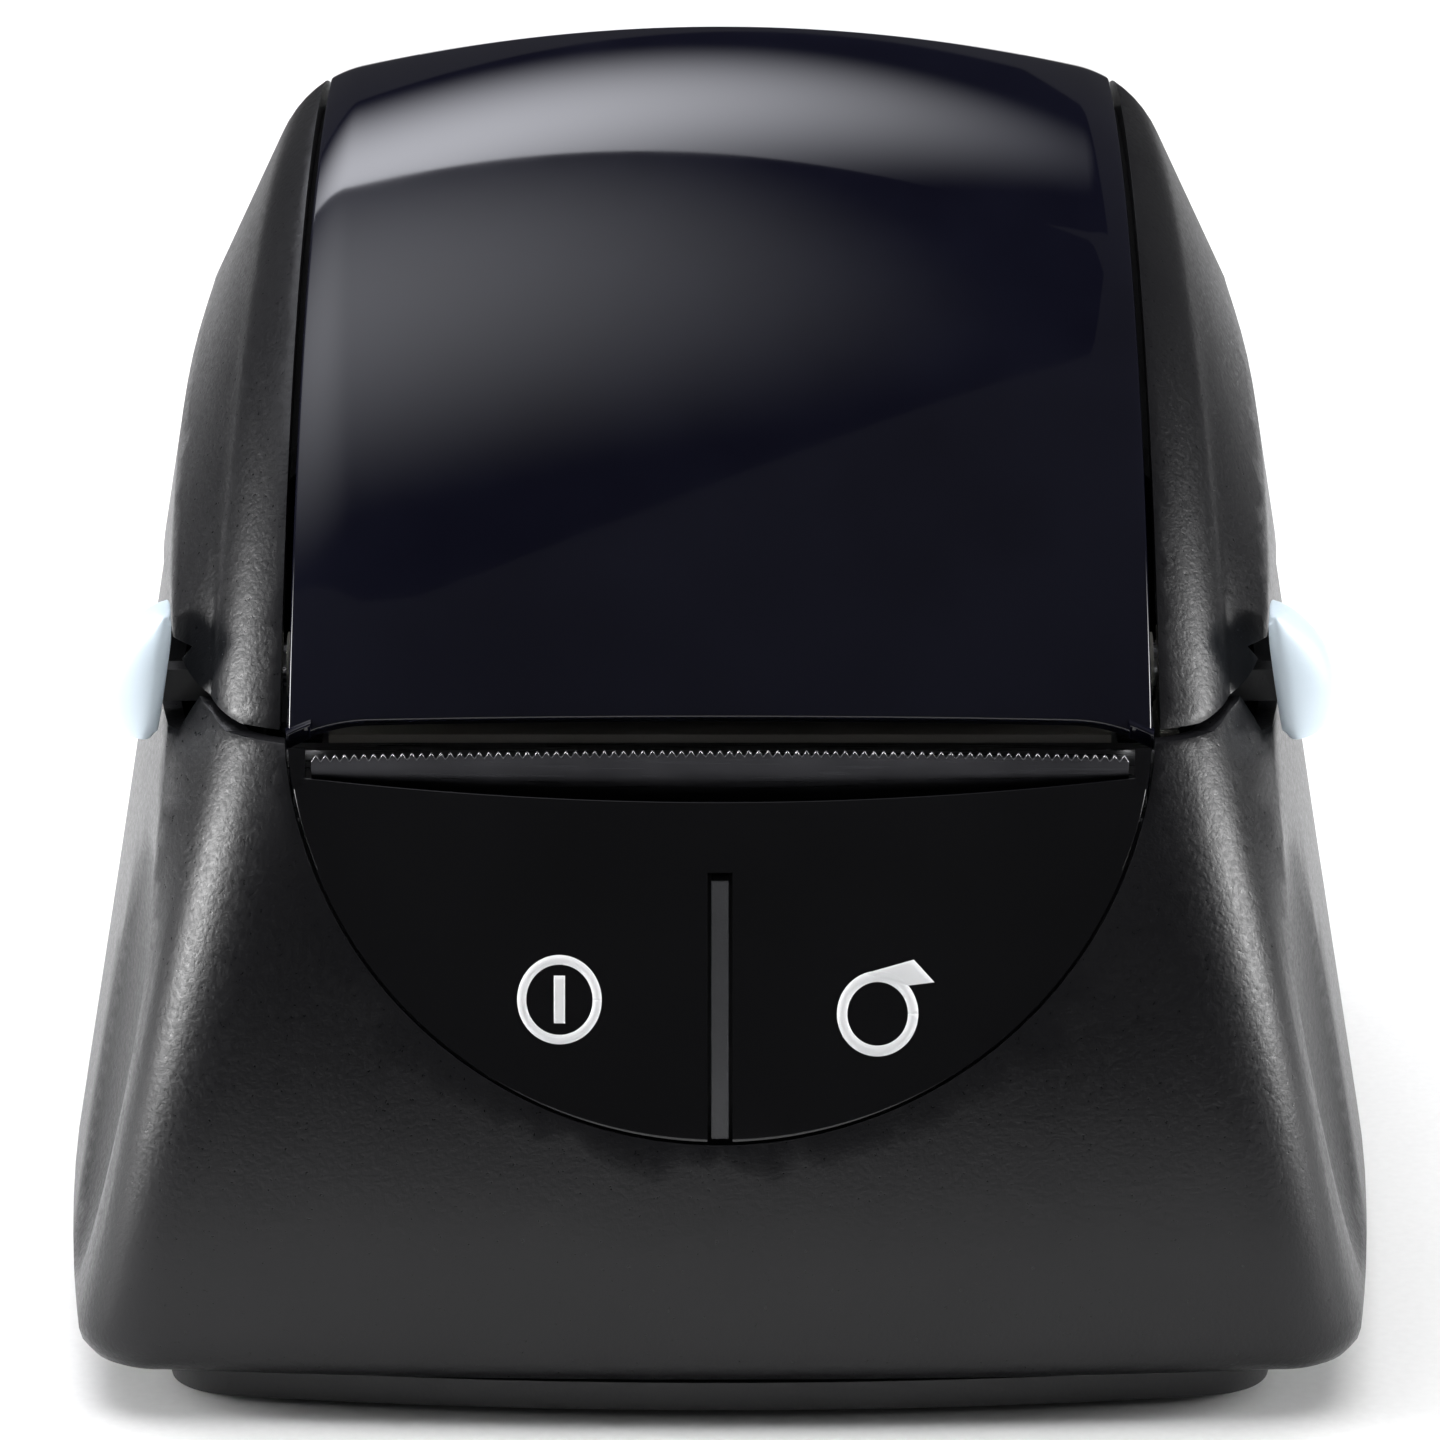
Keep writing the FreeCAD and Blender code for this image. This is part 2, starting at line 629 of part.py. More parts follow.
# ---------------------------------------------------------------- print mechanism in the body
def mechanism_frame():
    """Folded steel frame: two side plates, a front plate with a top flange and a shelf."""
    plates = []
    for x0, x1 in ((FRAME_X, FRAME_X + FRAME_T), (-FRAME_X - FRAME_T, -FRAME_X)):
        plate = box(x0, x1, -84.5, -45.5, 22, 88.4)
        plate = plate.cut(x_rod(x0 - 1, x1 + 1, PLATEN_Y, PLATEN_Z, 11.5))
        plates.append(plate)
    wide = FRAME_X + FRAME_T
    front = box(-wide, wide, -85.3, -84.5, 34, 88.4)
    flange = box(-wide, wide, -85.3, -81.6, 88.4, 89.2)
    shelf = box(-FRAME_X, FRAME_X, -84.5, -71.8, 70.2, 71.0)
    floor = box(-FRAME_X, FRAME_X, -84.5, -48, 22, 22.8)
    frame = fuse(plates + [front, flange, shelf, floor])
    frame = frame.cut(x_rod(59, 62, MOTOR_Y, MOTOR_Z, 6.0))
    frame = frame.cut(x_rod(59, 62, PLATEN_Y, IDLER_Z, 2.5))
    frame = frame.cut(x_rod(-70, 70, HEAD_PIVOT_Y, HEAD_PIVOT_Z, 1.5 + FIT))
    frame = frame.cut(x_rod(-70, 70, LATCH_PIVOT_Y, LATCH_PIVOT_Z, 2.5 + FIT))
    frame = frame.cut(box(-30, 30, -90, -80, 44, 62))
    for x, z in FRAME_SCREWS:
        frame = frame.cut(rod(Z_AXIS, (x, z, 20), 1.5, 5))
    return frame


FRAME_SCREWS = [(-52, -76), (52, -76), (-52, -54), (52, -54)]


def frame_posts():
    """Pillars that carry the mechanism frame above the base plate."""
    posts = []
    for x, y in FRAME_SCREWS:
        post = rod(Z_AXIS, (x, y, TRAY_TOP), 4.0, 22 - TRAY_TOP)
        posts.append(post.cut(rod(Z_AXIS, (x, y, 14), 1.4, 12)))
    return group(posts)


def mechanism_screws():
    return group([screw(x, y, 23.9, 6, up=False) for x, y in FRAME_SCREWS])


def stepper_motor():
    can = x_rod(24, 58.8, MOTOR_Y, MOTOR_Z, MOTOR_R)
    plate = box(58.8, FRAME_X, MOTOR_Y - 9, MOTOR_Y + 9, MOTOR_Z - 18.2, MOTOR_Z + 14.2)
    boss = x_rod(60.0, 60.7, MOTOR_Y, MOTOR_Z, 4.5)
    motor = fuse([can, plate, boss])
    return motor.cut(x_rod(20, 80, MOTOR_Y, MOTOR_Z, 1.0 + FIT))


def motor_shaft():
    return x_rod(30, GEAR_X1 + 0.4, MOTOR_Y, MOTOR_Z, 1.0)


def idler_axle():
    axle = x_rod(FRAME_X - 0.8, GEAR_X1 + 2.4, PLATEN_Y, IDLER_Z, 2.0)
    cap = x_rod(GEAR_X1 + 1.4, GEAR_X1 + 2.4, PLATEN_Y, IDLER_Z, 3.2)
    flange = x_rod(FRAME_X - 0.8, FRAME_X, PLATEN_Y, IDLER_Z, 3.6)
    seat = x_rod(FRAME_X, FRAME_X + FRAME_T, PLATEN_Y, IDLER_Z, 2.45)
    return fuse([axle, cap, flange, seat])


def tear_bar():
    """Serrated steel strip; the teeth point forward and slightly down."""
    count = int(2 * TEAR_HALF / TOOTH_PITCH)
    start = -count * TOOTH_PITCH / 2
    points = [(-TEAR_HALF, -81.8), (-TEAR_HALF, TEAR_Y + TOOTH_HEIGHT)]
    for tooth in range(count):
        x = start + tooth * TOOTH_PITCH
        points.append((x + TOOTH_PITCH / 2, TEAR_Y))
        points.append((x + TOOTH_PITCH, TEAR_Y + TOOTH_HEIGHT))
    points[-1] = (TEAR_HALF, TEAR_Y + TOOTH_HEIGHT)
    points.append((TEAR_HALF, -81.8))
    return xy_prism(points, 89.2, 89.8)


def head_springs():
    springs = []
    for x in (-34.0, 34.0):
        springs.append(coil(x, -76.0, 71.55, 82.85, 3.0, 0.5, 6))
    return group(springs)


def coil(x, y, z0, z1, radius, wire, turns):
    """Compression spring of round wire; z0 and z1 are the ends of its middle line."""
    pitch = (z1 - z0) / turns
    helix = Part.makeHelix(pitch, z1 - z0, radius)
    ring = Part.Wire(Part.makeCircle(wire, V(radius, 0, 0), Y_AXIS))
    spring = Part.Wire(helix.Edges).makePipeShell([ring], True, True)
    spring.translate(V(x, y, z0))
    return spring


def head_heatsink():
    """Aluminium bar under the print head; it rocks on a rod at its rear."""
    bar = box(-55, 55, -79.5, -58, 83.4, 88.2)
    fins = [box(-55, 55, y, y + 1.2, 80.4, 83.5) for y in (-70.5, -66.5, -62.5)]
    ears = []
    for sign in (-1, 1):
        x0, x1 = sorted((sign * 44, sign * 50))
        ears.append(yz_prism([(-58.5, 83.4), (-58.5, 88.2), (-46.5, 84.5), (-46.5, 79.5), (-52, 79.5)], x0, x1))
    sink = fuse([bar] + fins + ears)
    return sink.cut(x_rod(-70, 70, HEAD_PIVOT_Y, HEAD_PIVOT_Z, 1.5 + FIT))


def print_head():
    """Ceramic strip with the glazed heater line under the platen, and its driver cover."""
    strip = box(-54, 54, -79, -62, 88.2, 89.6)
    heater = x_rod(-53, 53, PLATEN_Y, 88.85, 1.3)
    heater = heater.common(box(-54, 54, -75, -65, 89.0, 91))
    cover = yz_prism([(-64.5, 89.6), (-62.0, 89.6), (-62.0, 90.4)], -54, 54)
    return fuse([strip, heater, cover])


def head_pivot_rod():
    rod_solid = x_rod(-62.4, 62.4, HEAD_PIVOT_Y, HEAD_PIVOT_Z, 1.5)
    return rod_solid


def gap_sensor():
    body = box(-8, 8, -56.4, -51.6, 84.9, 88.0)
    lens = rod(Z_AXIS, (0, -54, 87.5), 1.8, 1.3)
    tab = box(-8, 8, -52, -42.5, 86.0, 86.8)
    return fuse([body, lens, tab])


def lid_switch():
    """Small switch beside the left frame plate that senses the closed lid."""
    body = box(-67.0, -60.8, -53, -46, 84.0, 92.5)
    lever = yz_prism([(-52.5, 92.5), (-45, 95.6), (-44.6, 95.0), (-51.5, 92.5)], -66, -62.6)
    return body.fuse(lever).removeSplitter()


# ---------------------------------------------------------------- latch
def latch_arm(sign):
    """Hook over the end of the platen shaft, joined to a pivot below and a button outside."""
    x0, x1 = sorted((sign * HOOK_X, sign * (HOOK_X + HOOK_T)))
    outline = [(-64.4, 30), (-59, 30), (-58.4, 50), (-60, 100.2), (-62.5, 103.6), (-68.5, 103.6),
               (-70.8, 101.6), (-70.6, 100.2), (-66.0, 100.2), (-65.2, 97), (-65.2, 60)]
    arm = yz_prism(outline, x0, x1)
    arm = arm.fuse(x_rod(x0, x1, LATCH_PIVOT_Y, LATCH_PIVOT_Z, 6.0))
    arm = arm.cut(x_rod(x0 - 1, x1 + 1, LATCH_PIVOT_Y, LATCH_PIVOT_Z, 2.5))
    bridge_end = sign * 78.5
    b0, b1 = sorted((sign * (HOOK_X + HOOK_T / 2), bridge_end))
    bridge = box(b0, b1, -65, -60.4, 90.5, 95.0)
    return arm.fuse(bridge).removeSplitter()


def latch_shaft():
    """Rod across the frame that makes both hooks turn together."""
    return x_rod(-HOOK_X - HOOK_T - 0.5, HOOK_X + HOOK_T + 0.5, LATCH_PIVOT_Y, LATCH_PIVOT_Z, 2.5)


def latch_button(sign):
    """Finger tab with a rounded outer face, flat at the top and bottom."""
    levels = [(84.6, 79.7, 84.2, 15), (87.5, 77.6, 86.0, 19), (92.5, 75.6, 87.0, 22),
              (98.0, 76.0, 85.4, 22), (103.0, 77.0, 82.0, 19), (107.0, 77.6, 79.2, 15)]
    wires = []
    for z, inner, outer, length in levels:
        y0 = -74.0
        y1 = y0 + length
        wall = side_x(y1 + LATCH_TRAVEL, z) + 0.7
        front = V(max(inner, side_x(y0, z) + 0.9), y0, z)
        back = V(max(wall, inner + 0.2), y1, z)
        peak = V(outer, y0 + 0.42 * length, z)
        wires.append(Part.Wire([
            Part.Arc(front, peak, back).toShape(),
            line(back, front),
        ]))
    tab = Part.makeLoft(wires, True, False)
    socket = box(70, 79.0, -65.1, -60.3, 90.4, 95.1)
    tab = tab.cut(socket)
    if sign < 0:
        tab = mirror_x(tab)
    return tab


def latch_spring():
    """Torsion spring on the latch shaft: its coils and the two legs."""
    coils = x_rod(-30, -22, LATCH_PIVOT_Y, LATCH_PIVOT_Z, 4.2).cut(x_rod(-31, -21, LATCH_PIVOT_Y, LATCH_PIVOT_Z, 3.2))
    leg = box(-30, -29.2, -62.0, -50.5, 37.4, 38.0)
    return coils.fuse(leg).removeSplitter()


# ---------------------------------------------------------------- media bay
def media_bay():
    """Open drum that holds the label roll, with slots for the guide arms."""
    outer = x_rod(-BAY_HALF - BAY_WALL, BAY_HALF + BAY_WALL, ROLL_Y, ROLL_Z, BAY_R + BAY_WALL)
    inner = x_rod(-BAY_HALF, BAY_HALF, ROLL_Y, ROLL_Z, BAY_R)
    bay = outer.cut(inner).common(box(-100, 100, -60, 100, 0, 86))
    lip = box(-BAY_HALF, BAY_HALF, ROLL_Y - BAY_R - BAY_WALL, ROLL_Y - BAY_R + 1, 84, 86)
    bay = bay.fuse(lip)
    slot_a = box(-61, 6, RACK_Y_LEFT - 1.6, RACK_Y_LEFT + 1.6, 8, 24)
    slot_b = box(-6, 61, RACK_Y_RIGHT - 1.6, RACK_Y_RIGHT + 1.6, 8, 24)
    bay = bay.cut(slot_a).cut(slot_b)
    skirts = []
    for x in (-BAY_HALF - BAY_WALL, BAY_HALF):
        skirts.append(box(x, x + BAY_WALL, ROLL_Y - 20, ROLL_Y + 20, TRAY_TOP, 20))
    return fuse([bay] + skirts)


RACK_Y_LEFT = ROLL_Y - GUIDE_PINION_R - 3.2
RACK_Y_RIGHT = ROLL_Y + GUIDE_PINION_R + 3.2


def rack(y_pitch, y_back, x_from, x_to, shift):
    """Toothed bar along X; y_pitch is its pitch line and y_back its plain edge."""
    pitch = math.pi * RACK_MODULE
    way = 1 if y_pitch > y_back else -1
    tip = y_pitch + way * 0.80 * RACK_MODULE
    root = y_pitch - way * 1.15 * RACK_MODULE
    slope = math.tan(math.radians(20))
    half = pitch / 4 * 0.88
    points = [(x_from, y_back), (x_from, root)]
    first = math.ceil((x_from - shift) / pitch + 0.6)
    last = math.floor((x_to - shift) / pitch - 0.6)
    for tooth in range(first, last + 1):
        middle = shift + tooth * pitch
        wide = half + 1.15 * RACK_MODULE * slope
        thin = half - 0.80 * RACK_MODULE * slope
        points += [(middle - wide, root), (middle - thin, tip), (middle + thin, tip), (middle + wide, root)]
    points += [(x_to, root), (x_to, y_back)]
    return xy_prism(points, RACK_Z0, RACK_Z1)


def guide(sign):
    """Side guide with a hub for the roll's core, on a rack under the bay."""
    x0, x1 = sorted((sign * GUIDE_X, sign * (GUIDE_X + GUIDE_T)))
    disc = x_rod(x0, x1, ROLL_Y, ROLL_Z, 46)
    window = x_rod(x0 - 1, x1 + 1, ROLL_Y, ROLL_Z, 33).cut(x_rod(x0 - 2, x1 + 2, ROLL_Y, ROLL_Z, 17))
    spokes = box(x0 - 1, x1 + 1, ROLL_Y - 50, ROLL_Y + 50, ROLL_Z - 4, ROLL_Z + 4)
    spokes = spokes.fuse(box(x0 - 1, x1 + 1, ROLL_Y - 4, ROLL_Y + 4, ROLL_Z - 50, ROLL_Z + 50))
    disc = disc.cut(window.cut(spokes))
    h0, h1 = sorted((sign * (GUIDE_X - 8), sign * GUIDE_X))
    hub = x_rod(h0, h1, ROLL_Y, ROLL_Z, 12).cut(x_rod(h0 - 1, h1 + 1, ROLL_Y, ROLL_Z, 9.5))
    rack_y = RACK_Y_LEFT if sign < 0 else RACK_Y_RIGHT
    arm = box(x0, x1, rack_y - 1.2, rack_y + 1.2, RACK_Z1 - 0.5, ROLL_Z - 40)
    pitch_y = ROLL_Y + sign * GUIDE_PINION_R
    back_y = rack_y + sign * 1.4
    ends = sorted((-sign * 6, sign * (GUIDE_X + GUIDE_T)))
    shift = 0.0
    bar = rack(pitch_y, back_y, ends[0], ends[1], shift)
    return fuse([disc, hub, arm, bar])


def guide_pinion():
    turn = gap_at(GUIDE_TEETH, math.pi / 2)
    points = gear_outline(GUIDE_TEETH, RACK_MODULE, turn)
    gear = xy_prism([(x, ROLL_Y + y) for x, y in points], RACK_Z0, RACK_Z1)
    return gear.cut(rod(Z_AXIS, (0, ROLL_Y, 0), 2.0 + FIT, 30))


def guide_pinion_stud():
    stud = rod(Z_AXIS, (0, ROLL_Y, TRAY_TOP), 2.0, RACK_Z1 + 0.9 - TRAY_TOP)
    seat = rod(Z_AXIS, (0, ROLL_Y, TRAY_TOP), 5.0, RACK_Z0 - 0.2 - TRAY_TOP)
    return fuse([stud, seat])


# ---------------------------------------------------------------- electronics
BOARD_Z = 8.0
USB_X = -34.0
DC_X = -56.0


def main_board():
    board = box(-63.5, 50, 44, 104, BOARD_Z, BOARD_Z + 1.6)
    for x, y in BOARD_POSTS:
        board = board.cut(rod(Z_AXIS, (x, y, 4), 1.5, 10))
    return board.cut(rod(Z_AXIS, (-66, 98, 4), 5.0, 10))


def board_parts():
    """Processor, driver, capacitors and connectors on the board."""
    top = BOARD_Z + 1.6
    parts = [box(-10, 10, 78, 98, top, top + 1.6), box(18, 30, 84, 94, top, top + 1.8),
             box(-30, -22, 84, 92, top, top + 2.4), box(20, 44, 62, 66, top, top + 5),
             box(-24, -8, 60, 65, top, top + 6)]
    for x in (-8, 6, 34):
        parts.append(rod(Z_AXIS, (x, 72, top), 4.0, 8))
    return group(parts)


def board_screws():
    return group([screw(x, y, BOARD_Z + 2.7, 4, up=False, head_r=2.4, shank_r=1.25) for x, y in BOARD_POSTS])


def usb_socket():
    top = BOARD_Z + 1.6
    shell = box(USB_X - 6, USB_X + 6, 95, 111.4, top + 0.9, top + 11.9)
    cavity = box(USB_X - 4.25, USB_X + 4.25, 101, 112, top + 2.5, top + 10.4)
    tongue = box(USB_X - 2.8, USB_X + 2.8, 101, 109.5, top + 4.9, top + 8.1)
    return fuse([shell.cut(cavity), tongue, box(USB_X - 5, USB_X + 5, 96, 104, top, top + 1)])


def power_socket():
    top = BOARD_Z + 1.6
    body = box(DC_X - 4.5, DC_X + 4.5, 97, 111.4, top + 0.9, top + 11.7)
    body = body.cut(rod(Y_AXIS, (DC_X, 102, top + 6.3), 3.1, 12))
    pin = rod(Y_AXIS, (DC_X, 101.5, top + 6.3), 1.0, 8.5)
    return fuse([body, pin, box(DC_X - 4, DC_X + 4, 98, 104, top, top + 1)])


def head_cable():
    """Flat cable from the print head down to the main board."""
    x0 = 13.0
    x1 = 23.4
    top = box(x0, x1, -61.0, -46.2, 78.0, 78.4)
    drop = box(x0, x1, -46.6, -46.2, 5.8, 78.4)
    along = box(x0, x1, -46.6, 42.8, 5.8, 6.2)
    rise = box(x0, x1, 42.4, 42.8, 5.8, 12)
    plug = box(x0 - 1, x1 + 1, 42.8, 49.0, 9.7, 14.0)
    return fuse([top, drop, along, rise, plug])


# ---------------------------------------------------------------- hinge
ARM_X0 = 64.6
ARM_X1 = 68.6
EAR_X0 = 69.0
EAR_X1 = 72.4
PIN_R = 2.0


def hinge_brackets():
    """Two pillars beside the roll bay that carry the hinge pins."""
    outline = [(76, TRAY_TOP), (84, TRAY_TOP), (84, 95.6), (HINGE_Y, 95.6), (HINGE_Y, 103.0),
               (78, 103.0), (76, 101)]
    pillar = yz_prism(outline, ARM_X0, ARM_X1)
    pillar = pillar.fuse(x_rod(ARM_X0, ARM_X1, HINGE_Y, HINGE_Z, 4.6))
    pillar = pillar.cut(x_rod(60, 80, HINGE_Y, HINGE_Z, PIN_R))
    foot = box(ARM_X0, ARM_X1 + 5, 70, 84, TRAY_TOP, TRAY_TOP + 3)
    pillar = pillar.fuse(foot).removeSplitter()
    return group(both_sides(pillar))


def hinge_pins():
    pin = x_rod(ARM_X0 - 0.6, EAR_X1 + 0.6, HINGE_Y, HINGE_Z, PIN_R)
    head = x_rod(ARM_X0 - 1.6, ARM_X0 - 0.02, HINGE_Y, HINGE_Z, PIN_R + 1)
    return group(both_sides(pin.fuse(head).removeSplitter()))


# ---------------------------------------------------------------- lid
def lid_blank(inset):
    """The lid's volume: everything above the parting line, and the hinge barrel."""
    form = (LID_OUT if inset == 0 else LID_IN)
    upper = form.common(above_seam(SEAM_GAP - inset))
    rear = form.common(box(-120, 120, HINGE_Y - 0.01, 140, HINGE_Z, 200))
    barrel_r = BARREL_R - (2.2 if inset else 0)
    barrel = x_rod(-120, 120, HINGE_Y, HINGE_Z, barrel_r)
    return fuse([upper, rear, barrel.common(housing_form(inset, 80, 125))])


def barrel_mouth():
    """Wedge that opens the barrel towards the inside of the printer."""
    start = math.radians(-58)
    points = [(HINGE_Y, HINGE_Z)]
    for step in range(9):
        angle = start - step * math.radians(138) / 8
        points.append((HINGE_Y + 20 * math.cos(angle), HINGE_Z + 20 * math.sin(angle)))
    return yz_prism(points, -120, 120).common(housing_form(WALL, 80, 125))


def lid_pockets():
    """Room inside the lid for the platen gear, the latch hooks and the latch arms."""
    pockets = [x_rod(GEAR_X0 - 0.6, GEAR_X1 + 0.5, PLATEN_Y, PLATEN_Z, 8.0)]
    for sign in (-1, 1):
        x0, x1 = sorted((sign * (HOOK_X - 0.6), sign * (HOOK_X + HOOK_T + 0.5)))
        pockets.append(box(x0, x1, -72.5, -54, 85, 104.4))
    inside = fuse(pockets).common(lid_form(0.5))
    arms = []
    for sign in (-1, 1):
        x0, x1 = sorted((sign * 60, sign * 90))
        arms.append(box(x0, x1, -67, -54.5, 85, 99.0))
    return fuse([inside] + arms)


def window_cutter(half, rear_y):
    return box(-half, half, -110, rear_y, 60, 200)


def lid_shell():
    """Outer moulding of the lid: cheeks, rear and barrel, open for the window."""
    shell = lid_blank(0).cut(lid_blank(WALL)).cut(barrel_mouth())
    shell = shell.cut(window_cutter(WINDOW_HALF + WINDOW_GAP, WINDOW_REAR_Y + WINDOW_GAP))
    ears = []
    for sign in (-1, 1):
        x0, x1 = sorted((sign * EAR_X0, sign * EAR_X1))
        ear = yz_prism([(HINGE_Y - 4.6, HINGE_Z), (HINGE_Y + 4.6, HINGE_Z), (HINGE_Y + 3, 126),
                        (HINGE_Y - 20, 126)], x0, x1)
        ear = ear.fuse(x_rod(x0, x1, HINGE_Y, HINGE_Z, 4.6))
        ears.append(ear.common(lid_blank(0)))
    shell = fuse([shell] + ears)
    shell = shell.cut(x_rod(-90, 90, HINGE_Y, HINGE_Z, PIN_R + FIT).common(box(-74, 74, 90, 104, 90, 110)))
    return shell.cut(lid_pockets())


def lid_window():
    """Smoked window between the cheeks, bent over the crest."""
    skin = LID_OUT.cut(lid_form(WINDOW_THICK))
    skin = skin.common(box(-WINDOW_HALF, WINDOW_HALF, LID_FRONT_Y - 3, WINDOW_REAR_Y, 92.2, 200))
    skin = skin.cut(box(-WINDOW_HALF + 3.4, WINDOW_HALF - 3.4, -110, -60, 60, LID_FRONT_Z))
    for x, y, z in lid_screw_places():
        skin = skin.cut(rod(Z_AXIS, (x, y, z), 1.45, 1.1 + LID_SCREW_LENGTH))
    return skin


def lid_liner():
    """Frame inside the lid that carries the window: two side rails, a front and a rear beam."""
    outer = lid_form(WINDOW_THICK + 0.3)
    inner = lid_form(WINDOW_THICK + 2.3)
    skin = outer.cut(inner)
    ring = box(-65, 65, -80, 86, 60, 200)
    ring = ring.cut(box(-51, 51, -52, 62, 50, 210))
    skin = skin.common(ring).common(above_seam(2.5)).common(LID_IN)
    skin = skin.common(box(-62.2, 62.2, -80, 86, 60, 200))
    for sign in (-1, 1):
        x0, x1 = sorted((sign * 57.0, sign * 70))
        skin = skin.cut(box(x0, x1, -90, -52, 60, 140))
    skin = skin.cut(x_rod(-70, 70, PLATEN_Y, PLATEN_Z, PLATEN_R + 0.8))
    skin = skin.cut(x_rod(-70, 70, GUIDE_ROD_Y, GUIDE_ROD_Z, GUIDE_ROD_R + 0.4))
    bosses = [rod(Z_AXIS, (x, -57, 106.4), 3.0, 16.2).common(outer) for x in (-40, 40)]
    liner = fuse([skin] + bosses)
    for x, y, z in lid_screw_places():
        liner = liner.cut(rod(Z_AXIS, (x, y, z - 5), 3.1, 6.2))
        liner = liner.cut(rod(Z_AXIS, (x, y, z), 1.4, 12))
    return liner


def platen_bracket():
    """Steel bridge in the lid with an end plate for each platen bush."""
    parts = []
    for x0, x1 in ((57.6, 58.6), (-58.6, -57.6)):
        parts.append(yz_prism([(-81.8, 93.2), (-62, 92.6), (-52, 101), (-52, 106.4), (-66, 106.4),
                               (-76.5, 99.5), (-81.8, 97.2)], x0, x1))
    parts.append(box(-58.6, 58.6, -62.4, -52, 105.4, 106.4))
    bracket = fuse(parts)
    bracket = bracket.cut(x_rod(-70, 70, PLATEN_Y, PLATEN_Z, 4.5)).common(lid_form(WINDOW_THICK + 0.3))
    return bracket.cut(x_rod(-70, 70, GUIDE_ROD_Y, GUIDE_ROD_Z, GUIDE_ROD_R))


def platen_bushes():
    bush = x_rod(57.0, 60.0, PLATEN_Y, PLATEN_Z, 4.5)
    bush = bush.fuse(x_rod(56.6, 57.6, PLATEN_Y, PLATEN_Z, 5.4))
    bush = bush.cut(x_rod(50, 70, PLATEN_Y, PLATEN_Z, SHAFT_R + FIT))
    return group(both_sides(bush.removeSplitter()))


def platen_shaft():
    shaft = x_rod(-66.2, 66.2, PLATEN_Y, PLATEN_Z, 2.4)
    core = x_rod(-60.6, 60.6, PLATEN_Y, PLATEN_Z, SHAFT_R)
    shaft = shaft.fuse(core).removeSplitter()
    flat = box(GEAR_X0, 67, PLATEN_Y - 4, PLATEN_Y + 4, PLATEN_Z + 1.6, PLATEN_Z + 4)
    return shaft.cut(flat)


def platen_roller():
    return x_rod(-56.0, 56.0, PLATEN_Y, PLATEN_Z, PLATEN_R).cut(
        x_rod(-60, 60, PLATEN_Y, PLATEN_Z, SHAFT_R))


def guide_rod():
    """Polished rod behind the front edge of the lid; the label passes under it."""
    polished = x_rod(-58.6, 58.6, GUIDE_ROD_Y, GUIDE_ROD_Z, GUIDE_ROD_R)
    return polished.common(lid_form(WINDOW_THICK + 0.3))


LID_SCREW_LENGTH = 3.0


def lid_screw_places():
    """Seats of the screws that hold the window to the liner, on the liner's lower face."""
    places = []
    for x, y in ((-54.5, 56), (54.5, 56), (-54.5, 26), (54.5, 26)):
        top, slope = lid_top(y)
        crown = 6.5 * (x / WINDOW_HALF) ** 2
        places.append((x, y, top - crown - (WINDOW_THICK + 2.3) / math.cos(slope) - 1.2))
    return places


def lid_screws():
    return group([screw(x, y, z, LID_SCREW_LENGTH) for x, y, z in lid_screw_places()])


# ---------------------------------------------------------------- export
NODES = {
    "bottom_tray": bottom_tray,
    "rubber_feet": rubber_feet,
    "tray_screws": tray_screws,
    "lower_housing": lower_housing,
    "front_panel": front_panel,
    "power_key": lambda: key(-1),
    "feed_key": lambda: key(1),
    "key_carrier": key_carrier,
    "key_board": key_board,
    "tact_switches": tact_switches,
    "mechanism_frame": mechanism_frame,
    "frame_posts": frame_posts,
    "mechanism_screws": mechanism_screws,
    "stepper_motor": stepper_motor,
    "motor_shaft": motor_shaft,
    "motor_pinion": motor_pinion,
    "idler_gear": idler_gear,
    "idler_axle": idler_axle,
    "tear_bar": tear_bar,
    "head_springs": head_springs,
    "head_heatsink": head_heatsink,
    "print_head": print_head,
    "head_pivot_rod": head_pivot_rod,
    "gap_sensor": gap_sensor,
    "lid_switch": lid_switch,
    "latch_arm_left": lambda: latch_arm(-1),
    "latch_arm_right": lambda: latch_arm(1),
    "latch_shaft": latch_shaft,
    "latch_button_left": lambda: latch_button(-1),
    "latch_button_right": lambda: latch_button(1),
    "latch_spring": latch_spring,
    "media_bay": media_bay,
    "media_guide_left": lambda: guide(-1),
    "media_guide_right": lambda: guide(1),
    "guide_pinion": guide_pinion,
    "guide_pinion_stud": guide_pinion_stud,
    "main_board": main_board,
    "board_parts": board_parts,
    "board_screws": board_screws,
    "usb_socket": usb_socket,
    "power_socket": power_socket,
    "head_cable": head_cable,
    "hinge_brackets": hinge_brackets,
    "hinge_pins": hinge_pins,
    "lid_shell": lid_shell,
    "lid_window": lid_window,
    "lid_liner": lid_liner,
    "lid_screws": lid_screws,
    "platen_bracket": platen_bracket,
    "platen_bushes": platen_bushes,
    "platen_shaft": platen_shaft,
    "platen_roller": platen_roller,
    "platen_gear": platen_gear,
    "guide_rod": guide_rod,
}

os.makedirs("parts", exist_ok=True)
for name, make in NODES.items():
    shape = make()
    solids = len(shape.Solids)
    size = shape.BoundBox
    print(f"{name}: {solids} solid(s), valid {shape.isValid()}, {shape.Volume / 1000:.2f} cm3, "
          f"X {size.XMin:.1f} {size.XMax:.1f} Y {size.YMin:.1f} {size.YMax:.1f} "
          f"Z {size.ZMin:.1f} {size.ZMax:.1f}")
    shape.exportStep(f"parts/{name}.step")
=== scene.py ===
import json
import math

